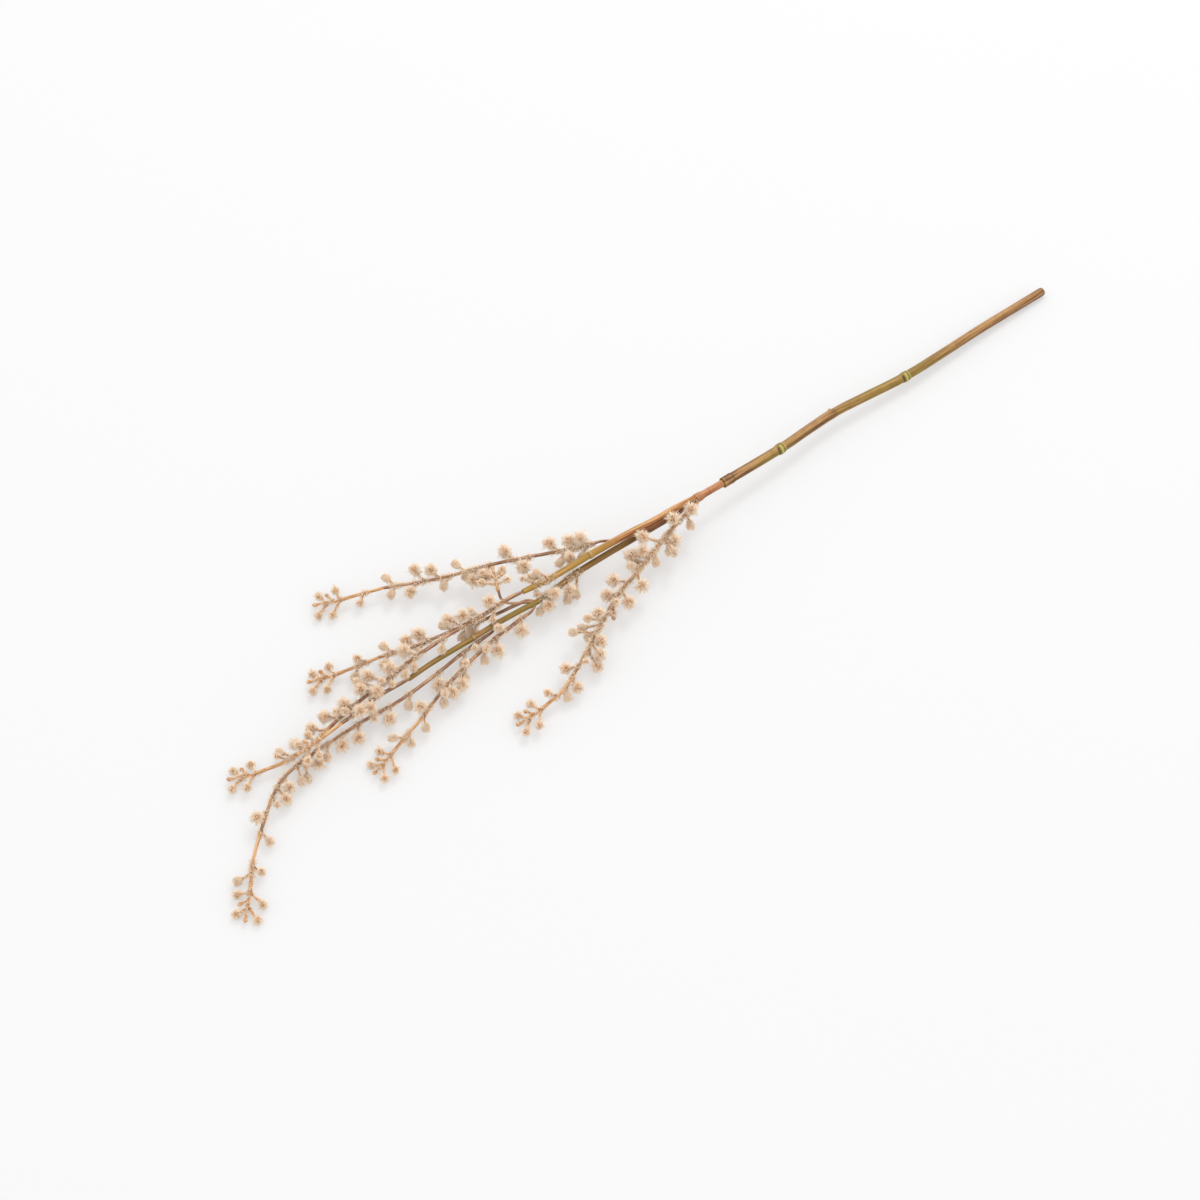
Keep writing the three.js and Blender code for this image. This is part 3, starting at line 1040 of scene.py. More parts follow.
@dataclass
class BudMaker:
    """Moulds buds and stalks, and sticks the flock on them."""

    moulding: Moulding
    flock: FlockCoat
    draw: random.Random
    line: CentreLine
    bare_line: bool = False
    stalk_finish: int = 0
    core_finish: int = 1
    stalk_sides: int = 8
    stalk_rings: int = 9
    stalk_sink: float = 0.4
    stalk_handle: float = 0.36
    least_stalk: float = 0.62
    most_stalk: float = 0.75
    stalk_gain: float = 0.05
    stalk_waist: float = 0.72
    root_flare: float = 0.75
    cup_flare: float = 0.55
    cup_start: float = 0.72
    stalk_lumps: float = 0.12
    bare_root: float = 0.15
    stalk_fibres: float = 14.0
    core_share: float = 0.66
    core_spread: tuple[float, float] = (0.95, 1.06)
    core_lumps: tuple[tuple[float, float], ...] = ((0.09, 2.6), (0.06, 6.5))
    core_pear: float = 0.06
    fibres_per_square: float = 10.0
    fibre_spread: tuple[float, float] = (0.4, 1.5)
    tuft_grain: float = 2.6
    speck_grain: float = 9.0
    bare_below: float = -0.13
    joint_fibres: int = 120
    joint_reach: float = 2.0
    fullness: tuple[float, float] = (1.36, 1.16)
    pod_sides: int = 14
    pod_steps: int = 13
    pod_shift: Triple = (0.12, 0.12, 0.2)
    sunk: float = 0.97
    stem_lean: float = 0.4
    bud_lean: float = 0.12
    pod_lean: float = 0.45
    stalk_nap: tuple[float, float] = (0.6, 1.4)
    joint_nap: tuple[float, float] = (0.7, 2.3)
    pod_nap: tuple[float, float] = (0.7, 2.2)
    stalk_wildness: float = 0.35
    joint_wildness: float = 0.45
    bud_wildness: float = 0.24
    pod_wildness: float = 0.28

    def make(self, bud: Bud) -> None:
        """Build one bud with its stalk and flock.

        Args:
            bud: The bud.
        """
        base = bud.centre - bud.axis * bud.half_length * (0.6 if bud.kind is BudKind.BARE else 0.55)
        self._stalk(bud, base)
        if bud.kind is not BudKind.BARE:
            self._joint_fuzz(bud)
        if bud.kind is BudKind.ROUND:
            self._round_core(bud)
        else:
            self._spindle(bud, flocked=bud.kind is BudKind.POD)

    def _stalk(self, bud: Bud, base: Vector) -> None:
        """Bend a tapered stalk from the stem to the bud's base and flock its outer part.

        Args:
            bud: The bud.
            base: Where the stalk meets it.
        """
        root = bud.root
        outward = base - root.point
        away = (outward - root.forward * outward.dot(root.forward)).normalized()
        start = root.point + away * self.stalk_sink
        span = (base - start).length
        leave = (root.forward * 0.8 + away * 0.6).normalized()
        curve = (start, start + leave * span * self.stalk_handle,
                 base - bud.axis * span * self.stalk_handle, base)
        thick = min(self.least_stalk + self.stalk_gain * bud.half_width, self.most_stalk)
        rings = []
        for number in range(self.stalk_rings):
            t = number / (self.stalk_rings - 1)
            station = self._on_curve(curve, t, root.up + root.right * 0.3)
            flare = self.root_flare * (1 - t) ** 4 + self.cup_flare * smooth(self.cup_start, 1.0, t)
            radius = thick * (self.stalk_waist + flare)
            rings.append(self._stalk_ring(station, radius, t))
            if t > self.bare_root:
                self._fuzz(station, radius, span / self.stalk_rings)
        self.moulding.skin(rings, self.stalk_finish)
        for ring, at_root in ((rings[0], True), (rings[-1], False)):
            middle = sum((self.moulding.vertices[i] for i in ring), Vector()) / len(ring)
            self.moulding.fan(ring, self.moulding.vertex(middle, NO_PLACE), at_root, self.stalk_finish)

    @staticmethod
    def _on_curve(curve: Sequence[Vector], t: float, upward: Vector) -> Station:
        """Walk along a cubic curve.

        Args:
            curve: Its four controls.
            t: How far along, 0 to 1.
            upward: Roughly which way is up.

        Returns:
            The station there.
        """
        first, second, third, fourth = curve
        s = 1.0 - t
        point = first * s ** 3 + second * 3 * s * s * t + third * 3 * s * t * t + fourth * t ** 3
        slope = (second - first) * s * s + (third - second) * 2 * s * t + (fourth - third) * t * t
        forward = slope.normalized()
        right = forward.cross(upward).normalized()
        return Station(point, forward, right, right.cross(forward))

    def _stalk_ring(self, station: Station, radius: float, t: float) -> list[int]:
        """Add one ring of a stalk, kept above the floor.

        Args:
            station: The ring's middle.
            radius: Its radius.
            t: How far along the stalk it is, 0 to 1.

        Returns:
            The ring's vertex numbers.
        """
        ring = []
        for side in range(self.stalk_sides):
            lump = noise.noise(station.point * 1.1 + station.up * side)
            spot = station.around(side / self.stalk_sides * HOURS, radius * (1.0 + self.stalk_lumps * lump))
            spot.z = max(spot.z, 0.0)
            ring.append(self.moulding.vertex(spot, tuple(spot), Tint(scar=0.85 * (1 - t) ** 3)))
        return ring

    def _fuzz(self, station: Station, radius: float, span: float) -> None:
        """Stick a few short fibres round one stretch of a stalk.

        Args:
            station: The stretch's middle.
            radius: The stalk's radius.
            span: The stretch's length.
        """
        for _ in range(int(self.stalk_fibres * span + self.draw.random())):
            outward = station.side(self.draw.uniform(0.0, HOURS))
            along = self.draw.uniform(-0.5, 0.5) * span
            root = station.point + outward * radius * 0.9 + station.forward * along
            length = self.draw.uniform(*self.stalk_nap)
            self.flock.coat(root, outward, station.forward * self.stem_lean, length, self.stalk_wildness)

    def _round_core(self, bud: Bud) -> None:
        """Mould a lumpy round bud and stand its flock out all round, parted in small specks.

        Args:
            bud: The bud.
        """
        ball = bmesh.new()
        bmesh.ops.create_icosphere(ball, subdivisions=3, radius=1.0)
        turn = bud.axis.to_track_quat("Z", "Y")
        wide = bud.half_width * self.core_share * self.draw.uniform(*self.core_spread)
        tall = bud.half_length * self.core_share * self.draw.uniform(*self.core_spread)
        seed = Vector([self.draw.uniform(0, 50) for _ in range(3)])
        first = len(self.moulding.vertices)
        for vertex in ball.verts:
            unit = vertex.co.copy()
            lump = 1.0 + sum(height * noise.noise(unit * grain + seed) for height, grain in self.core_lumps)
            pear = 1.0 + self.core_pear * unit.z
            local = Vector((unit.x * wide, unit.y * wide, unit.z * tall * pear)) * lump
            self.moulding.vertex(bud.centre + turn @ local, tuple(local + seed))
        for face in ball.faces:
            self.moulding.face([first + vertex.index for vertex in face.verts], self.core_finish)
        ball.free()
        reach = bud.half_width * self._fullness(bud) - wide
        area = 4.0 * math.pi * wide * tall
        for _ in range(int(area * self.fibres_per_square)):
            unit = self._unit()
            speck = noise.noise(unit * self.speck_grain + seed)
            if speck < self.bare_below:
                continue
            local = Vector((unit.x * wide, unit.y * wide, unit.z * tall)) * self.sunk
            tuft = 0.9 + 0.6 * noise.noise(unit * self.tuft_grain + seed) + 0.7 * speck
            length = reach * tuft * self.draw.uniform(*self.fibre_spread)
            root = bud.centre + turn @ local
            self.flock.coat(root, turn @ unit, bud.axis * self.bud_lean, length, self.bud_wildness)

    def _fullness(self, bud: Bud) -> float:
        """Tell how far the flock reaches, which is less towards the tip of the stem.

        Args:
            bud: The bud.

        Returns:
            The reach as a share of the plain solid's half width.
        """
        near, far = self.fullness
        share = 1.0 if self.bare_line else smooth(0.35, 0.95, bud.root_place / self.line.length)
        return near + (far - near) * share

    def _joint_fuzz(self, bud: Bud) -> None:
        """Stick a loose collar of fibres round the stem where a stalk leaves it.

        Args:
            bud: The bud.
        """
        for _ in range(self.joint_fibres // (3 if self.bare_line else 1)):
            place = bud.root_place + self.draw.gauss(0.0, self.joint_reach)
            station = self.line.at(place)
            outward = station.side(self.draw.uniform(0.0, HOURS))
            root = station.point + outward * self.line.radius(place) * 0.8
            length = self.draw.uniform(*self.joint_nap)
            self.flock.coat(root, outward, station.forward * self.stem_lean, length, self.joint_wildness)

    def _unit(self) -> Vector:
        """Draw a direction evenly over the sphere.

        Returns:
            The unit direction.
        """
        height = self.draw.uniform(-1.0, 1.0)
        angle = self.draw.uniform(0.0, FULL_TURN)
        width = math.sqrt(1.0 - height * height)
        return Vector((width * math.cos(angle), width * math.sin(angle), height))

    def _spindle(self, bud: Bud, flocked: bool) -> None:
        """Mould a pointed pod or bare bud, and comb flock towards its tip.

        Args:
            bud: The bud.
            flocked: Whether it carries flock.
        """
        turn = bud.axis.to_track_quat("Z", "Y")
        wide, tall = bud.half_width * (0.85 if flocked else 0.9), bud.half_length * (0.9 if flocked else 0.95)
        bend = self.draw.uniform(-0.12, 0.12) * tall
        rings = []
        for number in range(1, self.pod_steps):
            t = number / self.pod_steps
            width = wide * math.sin(math.pi * t ** 1.15) ** 0.75
            middle = Vector((bend * (2 * t - 1) ** 2, 0.0, (2.0 * t - 1.0) * tall))
            ring = []
            for side in range(self.pod_sides):
                angle = side / self.pod_sides * FULL_TURN
                across = Vector((math.cos(angle), math.sin(angle), 0.0))
                ridge = 1.0 + 0.07 * math.cos(3.0 * angle) * smooth(0.1, 0.6, t)
                local = middle + across * (width * ridge)
                spot = bud.centre + turn @ local
                spot.z = max(spot.z, 0.0)
                ring.append(self.moulding.vertex(spot, tuple(spot), Tint(scar=0.5 * (1 - t) ** 2)))
                if flocked:
                    outward = (turn @ (across + SKY * 0.25)).normalized()
                    self._comb(bud, turn, local, outward, 4 if width > 0.5 else 3)
            rings.append(ring)
        finish = self.core_finish if flocked else self.stalk_finish
        self.moulding.skin(rings, finish)
        for ring, height, at_root in ((rings[0], -tall, True), (rings[-1], tall, False)):
            end = bud.centre + turn @ Vector((bend, 0.0, height))
            end.z = max(end.z, 0.0)
            self.moulding.fan(ring, self.moulding.vertex(end, tuple(end)), at_root, finish)

    def _comb(self, bud: Bud, turn: Quaternion, local: Vector, outward: Vector, count: int) -> None:
        """Stick a few fibres near one spot of a pod.

        Args:
            bud: The pod.
            turn: How it is turned.
            local: The spot, from the pod's middle.
            outward: The surface's unit normal there.
            count: How many fibres.
        """
        for _ in range(count):
            shift = Vector([self.draw.gauss(0, spread) for spread in self.pod_shift])
            length = self.draw.uniform(*self.pod_nap)
            root = bud.centre + turn @ (local * self.sunk + shift)
            self.flock.coat(root, outward, bud.axis * self.pod_lean, length, self.pod_wildness)


# ---- Sub-assemblies ----


@dataclass(frozen=True)
class Band:
    """A soft band across the cane: how far past a mark it lies, how wide it is and how strong."""

    past: float
    width: float
    strength: float

    def at(self, past: float) -> float:
        """Return the band's strength at a distance past the mark."""
        return self.strength * bell(self.past, self.width, past)


@dataclass
class Cane:
    """The jointed main stem, from its cut end to the collar that holds the neck.

    The knots, the steps and the collar are distances from the cut end, found in the frame.
    A ring of the cut end is its place, its share of the radius and its slide along the cane.
    """

    reader: FrameReader
    shop: Workshop
    node: str = "main_stem"
    neck_node: str = "neck"
    sides: int = 40
    step: float = 1.2
    fine_step: float = 0.22
    fine_reach: float = 6.0
    least_jump: float = 0.05
    knot_jump: float = 1.12
    before_knot: float = 3.0
    knot_reach: float = 8.0
    flute_depth: float = 0.035
    cut_end: tuple[Triple, ...] = (
        (0.0, 0.3, 0.3), (0.0, 0.62, 0.18), (0.0, 0.8, 0.0), (0.4, 0.97, -0.05), (1.0, 1.0, 0.0))
    socket_depth: float = 7.7
    socket_radius: float = 2.62
    scale_hour: float = 10.2
    nub_hour: float = 1.6
    knot_ring: Band = Band(-1.6, 0.45, 0.16)
    knot_groove: Band = Band(-0.7, 0.3, -0.12)
    knot_scale: Band = Band(1.1, 1.1, 0.22)
    knot_notch: Band = Band(3.1, 0.6, -0.5)
    step_groove: Band = Band(-0.8, 0.5, -0.12)
    step_nub: Band = Band(0.4, 0.9, 0.6)
    collar_groove: Band = Band(-0.6, 0.35, -0.14)
    collar_lip: Band = Band(0.4, 0.5, 0.12)
    end_lip: Band = Band(-0.5, 0.6, 0.1)
    ring_cream: Band = Band(-1.6, 0.4, 0.8)
    scale_cream: Band = Band(1.0, 0.8, 0.9)
    end_cream: Band = Band(-0.6, 0.5, 0.3)
    groove_scar: Band = Band(-0.5, 0.4, 0.75)
    back_scar: Band = Band(1.2, 0.9, 0.5)
    notch_scar: Band = Band(3.1, 0.8, 1.0)
    collar_scar: Band = Band(-0.6, 0.4, 0.9)
    step_scar: Band = Band(-0.8, 0.6, 0.7)
    knot_olive: Band = Band(1.0, 2.5, 0.9)
    knots: list[float] = field(default_factory=list)
    steps: list[float] = field(default_factory=list)
    collar: float = 0.0

    def build(self) -> CentreLine:
        """Build the stem and the neck.

        Returns:
            The neck's centre line, which the branches start from.
        """
        line = self.reader.tube(self.node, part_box(self.node)[1] / MM)
        *jumps, self.collar = line.swellings(self.least_jump)
        self.knots = [place for place in jumps
                      if line.radius(place) > line.radius(place - self.before_knot) * self.knot_jump]
        self.steps = [place for place in jumps if place not in self.knots]
        moulding = Moulding("cane")
        skin = StemSkin(line, self._radius_rule(line), self._tint_rule(line), self.sides)
        spots = [*self.knots, *self.steps, self.collar]
        places = crowded_places(0.0, line.length, self.step, spots, self.fine_reach, self.fine_step)
        rings = [skin.ring(moulding, *ring) for ring in self.cut_end]
        rings += [skin.ring(moulding, place) for place in places if 1.4 < place < line.length - 0.5]
        rings += self._socket(moulding, skin)
        moulding.skin(rings)
        for ring, place, scar, at_root in ((rings[0], 0.25, 0.5, True),
                                           (rings[-1], line.length - self.socket_depth, 1.0, False)):
            middle = moulding.vertex(line.at(place).point, NO_PLACE, Tint(scar=scar))
            moulding.fan(ring, middle, at_root)
        self.shop.mount(moulding.build([self.shop.material(CANE_PLASTIC)]), "cane", self.node)
        return self._neck(line.at(line.length).point)

    def _radius_rule(self, line: CentreLine) -> RadiusRule:
        """Shape the flutes, knots, steps and lips.

        Args:
            line: The stem's centre line.

        Returns:
            The rule for its radius.
        """

        def radius(place: float, hour: float) -> float:
            """Return the radius at a place and hour.

            Args:
                place: The distance along the stem.
                hour: The clock hour.

            Returns:
                The radius.
            """
            flutes = rind(place, hour, 1.7, 0.02) * 1.6 + rind(place, hour, 4.5, 0.035)
            reach = line.radius(place) + self.flute_depth * flutes
            reach += sum(self._knot_relief(place - knot, hour) for knot in self.knots)
            on_nub = smooth(2.2, 0.8, hour_gap(hour, self.nub_hour))
            for small_step in self.steps:
                past = place - small_step
                reach += self.step_groove.at(past) + on_nub * self.step_nub.at(past)
            past = place - self.collar
            return reach + self.collar_groove.at(past) + self.collar_lip.at(past) + self.end_lip.at(
                place - line.length)

        return radius

    def _knot_relief(self, past: float, hour: float) -> float:
        """Return how far a knot's surface stands out from the plain swelling.

        Args:
            past: The distance past the knot's peak.
            hour: The clock hour.

        Returns:
            The extra radius.
        """
        if abs(past) > self.knot_reach:
            return 0.0
        gap = hour_gap(hour, self.scale_hour)
        around = self.knot_ring.at(past) + self.knot_groove.at(past)
        return around + smooth(3.6, 1.6, gap) * self.knot_scale.at(past) + smooth(1.9, 0.9, gap) * (
            self.knot_notch.at(past))

    def _tint_rule(self, line: CentreLine) -> TintRule:
        """Paint the cut end, knots, steps and collar over the olive stretches.

        Args:
            line: The stem's centre line.

        Returns:
            The rule for its painted colours.
        """
        middle = self.steps[0]
        end = line.length

        def tint(place: float, hour: float) -> Tint:
            """Return the painted colours at a place and hour.

            Args:
                place: The distance along the stem.
                hour: The clock hour.

            Returns:
                The paint.
            """
            drift = 0.5 + noise.noise(Vector((place * 0.05, hour * 0.4, 3.0)))
            olive = self._olive(place, end) * (0.7 + 0.5 * drift)
            scar = self.collar_scar.at(place - self.collar) + self.step_scar.at(place - middle)
            scar += 0.8 * smooth(1.3, 0.2, place)
            cream = self.end_cream.at(place - end)
            for knot in self.knots:
                own = self._knot_tint(place - knot, hour)
                olive, scar, cream = max(olive, own.olive), scar + own.scar, cream + own.cream
            return Tint(min(olive, 1.0), min(scar, 1.0), min(cream, 1.0))

        return tint

    def _olive(self, place: float, end: float) -> float:
        """Tell how olive the cane is: brown at first, olive between the knots and before the collar.

        Args:
            place: The distance from the cut end.
            end: The cane's length.

        Returns:
            The olive share, 0 to 1.
        """
        first, middle, second = self.knots[0], self.steps[0], self.knots[-1]
        if place < first:
            return 0.62 * smooth(first * 0.4, first * 0.9, place)
        if place < middle:
            return 0.85 - 0.4 * smooth(first + 20.0, middle, place)
        if place < second:
            return 0.1 + 0.25 * smooth(middle + 20.0, second, place)
        return 0.75 * (1.0 - smooth(second + 4.0, end - 12.0, place))

    def _knot_tint(self, past: float, hour: float) -> Tint:
        """Paint a knot: a cream ring, a pale green scale and a dark notch behind it.

        Args:
            past: The distance past the knot's peak.
            hour: The clock hour.

        Returns:
            The knot's own paint.
        """
        if abs(past) > self.knot_reach:
            return Tint()
        gap = hour_gap(hour, self.scale_hour)
        facing = smooth(2.7, 1.7, gap)
        cream = self.ring_cream.at(past) + facing * self.scale_cream.at(past)
        scar = self.groove_scar.at(past) + (1.0 - facing) * self.back_scar.at(past)
        scar += smooth(2.1, 1.3, gap) * self.notch_scar.at(past)
        return Tint(self.knot_olive.at(past), scar, cream)

    def _socket(self, moulding: Moulding, skin: StemSkin) -> list[list[int]]:
        """Add the rings of the collar's lip and the socket behind it.

        Args:
            moulding: The mesh in the making.
            skin: The cane's skin.

        Returns:
            The rings' vertex numbers.
        """
        end = skin.line.length
        bore = self.socket_radius / skin.line.radius(end)
        shape = ((1.0, -0.25), (0.96, 0.0), (bore + 0.03, 0.0), (bore, -0.3), (bore, -self.socket_depth))
        return [skin.ring(moulding, end, share, slide) for share, slide in shape]

    def _neck(self, near: Vector) -> CentreLine:
        """Build the reddish neck that plugs into the collar.

        Args:
            near: The collar's end.

        Returns:
            The neck's centre line.
        """
        line = self.reader.tube(self.neck_node, near)
        seam = line.length * 0.62

        def radius(place: float, hour: float) -> float:
            """Return the radius at a place and hour."""
            return line.radius(place) + 0.05 * rind(place, hour, 2.0, 0.09) + 0.09 * bell(seam, 0.6, place)

        def tint(place: float, hour: float) -> Tint:
            """Return the painted colours at a place and hour."""
            drift = noise.noise(Vector((place * 0.12, hour * 0.5, 9.0)))
            olive = 0.35 * smooth(seam, line.length, place) + 0.2 * drift
            return Tint(olive, 0.55 * bell(seam + 0.9, 0.45, place))

        moulding = Moulding("neck_skin")
        skin = StemSkin(line, radius, tint, 28)
        skin.add_to(moulding, crowded_places(0.0, line.length, 0.9, [seam], 3.0, 0.25))
        self.shop.mount(moulding.build([self.shop.material(NECK_PLASTIC)]), "neck_red", self.neck_node)
        return line


@dataclass
class BudGroup:
    """The stalked buds of one sleeve or end spray, with their flock."""

    reader: FrameReader
    shop: Workshop
    node: str
    line: CentreLine
    stalk_finish: StemPlastic
    core_finish: BudCorePlastic
    seed: int

    def build(self) -> list[Bud]:
        """Build the buds and flock.

        Returns:
            The buds, whose roots the stem swells at.
        """
        buds = self.reader.buds(self.node, self.line)
        draw = random.Random(self.seed)
        moulding = Moulding(f"{self.node}_cores")
        flock = FlockCoat(f"{self.node}_flock", draw)
        maker = BudMaker(moulding, flock, draw, self.line, bare_line=self.on_spray())
        for bud in buds:
            maker.make(bud)
        self._extra(moulding, buds)
        finishes = [self.shop.material(self.stalk_finish), self.shop.material(self.core_finish)]
        self.shop.mount(moulding.build(finishes), "flock", self.node)
        self.shop.mount(flock.build(self.shop.material(FLOCK)), "flock")
        return buds

    def on_spray(self) -> bool:
        """Tell whether the buds sit on an end spray, where the flock is thin."""
        return False

    def _extra(self, moulding: Moulding, buds: list[Bud]) -> None:
        """Add nothing more; an end spray adds its axis here."""


@dataclass
class EndSpray(BudGroup):
    """The forked tan piece at a sprig's tip: a ribbed collar, a thin axis and six buds."""

    search_length: float = 20.0
    axis_radii: Triple = (1.0, 0.7, 0.6)
    past_last_root: float = 0.6
    collar_share: float = 0.37
    collar_radius: float = 1.12
    collar_drop: float = 0.42
    axis_taper: float = 0.12
    ribs: int = 4
    rib_height: float = 0.14
    sides: int = 12

    @classmethod
    def axis_from(cls, stem: CentreLine) -> CentreLine:
        """Return the straight axis that carries on from a stem's end."""
        end = stem.at(stem.length)
        centres = [end.point + end.forward * cls.search_length * share for share in (0.0, 0.5, 1.0)]
        return CentreLine(centres, list(cls.axis_radii))

    def on_spray(self) -> bool:
        """Tell that these buds sit on an end spray."""
        return True

    def _extra(self, moulding: Moulding, buds: list[Bud]) -> None:
        """Loft the ribbed collar and the axis, which ends just past the last stalk's root.

        Args:
            moulding: The mesh in the making.
            buds: The spray's buds.
        """
        axis_length = max(bud.root_place for bud in buds) + self.past_last_root
        collar = axis_length * self.collar_share

        def rib(place: float) -> float:
            """Return the ribs' wave, -1 in a groove and 1 on a rib."""
            return math.cos(place / collar * self.ribs * FULL_TURN)

        def radius(place: float, hour: float) -> float:
            """Return the radius at a place."""
            plain = self.collar_radius - self.collar_drop * smooth(collar - 1.0, collar + 0.6, place)
            plain -= self.axis_taper * smooth(collar, axis_length, place)
            return plain + (self.rib_height * rib(place) if place < collar else 0.0)

        def tint(place: float, hour: float) -> Tint:
            """Return the painted colours at a place."""
            return Tint(scar=0.55 * (0.5 - 0.5 * rib(place)) if place < collar else 0.1)

        skin = StemSkin(self.line, radius, tint, self.sides)
        skin.add_to(moulding, crowded_places(0.0, axis_length, 0.7, [collar * 0.5], collar * 0.6, 0.17))


@dataclass
class Stem:
    """A branch or sprig stem with its joints, built once its buds are known."""

    shop: Workshop
    name: str
    node: str
    line: CentreLine
    finish: StemPlastic
    slot: str
    sides: int = 16
    step: float = 0.8
    fine_step: float = 0.35
    fine_reach: float = 2.0
    overlap: tuple[float, float] = (0.8, 0.4)
    joint_swell: float = 0.16
    joint_length: float = 1.7
    pit_depth: float = 0.2
    grain_depth: float = 0.05
    lip_height: float = 0.14
    slimness: float = 0.92
    olive_root: float = 0.0
    olive_end: tuple[float, float] = (0.6, 0.42)
    nodes: list[float] = field(default_factory=list)
    zone: Callable[[float], float] = lambda share: 0.0

    def build(self, roots: list[float]) -> None:
        """Loft the stem, thicker and darker at each stalk's root.

        Args:
            roots: The distances where stalks leave.
        """
        near = [root for root in roots if -self.fine_reach < root < self.line.length + self.fine_reach]
        moulding = Moulding(self.name)
        skin = StemSkin(self.line, self._radius_rule(near), self._tint_rule(near), self.sides)
        before, after = self.overlap
        spots = [*near, *self.nodes]
        skin.add_to(moulding, crowded_places(-before, self.line.length + after, self.step, spots,
                                             self.fine_reach, self.fine_step))
        self.shop.mount(moulding.build([self.shop.material(self.finish)]), self.slot, self.node)

    def _radius_rule(self, roots: list[float]) -> RadiusRule:
        """Shape the grain, joints and nodes.

        Args:
            roots: The distances where stalks leave.

        Returns:
            The rule for the stem's radius.
        """
        phase = len(self.name) * 1.7

        def radius(place: float, hour: float) -> float:
            """Return the radius at a place and hour.

            Args:
                place: The distance along the stem.
                hour: The clock hour.

            Returns:
                The radius.
            """
            near = max((bell(root, self.joint_length, place) for root in roots), default=0.0)
            swell = self.joint_swell + self.pit_depth * rind(place, hour, 2.2, 0.9, phase)
            lip = sum(self.lip_height * bell(node, 0.5, place) for node in self.nodes)
            plain = self.line.radius(place) * self.slimness
            return plain + self.grain_depth * rind(place, hour, 1.5, 0.16, phase) + near * swell + lip

        return radius

    def _tint_rule(self, roots: list[float]) -> TintRule:
        """Paint the joints and nodes over the olive stretch.

        Args:
            roots: The distances where stalks leave.

        Returns:
            The rule for the stem's painted colours.
        """

        def tint(place: float, hour: float) -> Tint:
            """Return the painted colours at a place and hour.

            Args:
                place: The distance along the stem.
                hour: The clock hour.

            Returns:
                The paint.
            """
            share = place / self.line.length
            near = max((bell(root, self.joint_length * 1.3, place) for root in roots), default=0.0)
            pits = noise.noise(Vector((hour * 0.8, place * 0.8, 5.0)))
            scar = near * (0.55 + 0.6 * pits) + sum(0.5 * bell(node + 0.9, 0.4, place) for node in self.nodes)
            cream = sum(0.25 * bell(node, 0.5, place) for node in self.nodes)
            cream += near * smooth(0.05, 0.5, -pits) * 0.8
            olive = max(self.zone(share), self.olive_root * smooth(*self.olive_end, share))
            return Tint(min(olive, 1.0), min(max(scar, 0.0), 1.0), min(cream, 1.0))

        return tint


@dataclass
class Branch:
    """One of the two plain branches from the neck, with the bud sleeves threaded on it."""

    reader: FrameReader
    shop: Workshop
    name: str
    finish: StemPlastic
    slot: str
    zone: Callable[[float], float]
    seed: int

    def build(self, root_near: Vector) -> CentreLine:
        """Build the branch and its buds.

        Args:
            root_near: A point near its root.

        Returns:
            The branch's centre line.
        """
        line = self.reader.tube(self.name, root_near)
        roots = []
        for number, node in enumerate(sleeve_nodes(self.reader, self.name)):
            seed = self.seed + number
            group = BudGroup(self.reader, self.shop, node, line, STALK_PLASTIC, BROWN_CORE, seed)
            roots += [bud.root_place for bud in group.build()]
        stem = Stem(self.shop, f"{self.name}_skin", self.name, line, self.finish, self.slot, sides=22,
                    nodes=line.swellings(0.04), zone=self.zone, slimness=1.0)
        stem.build(roots)
        return line


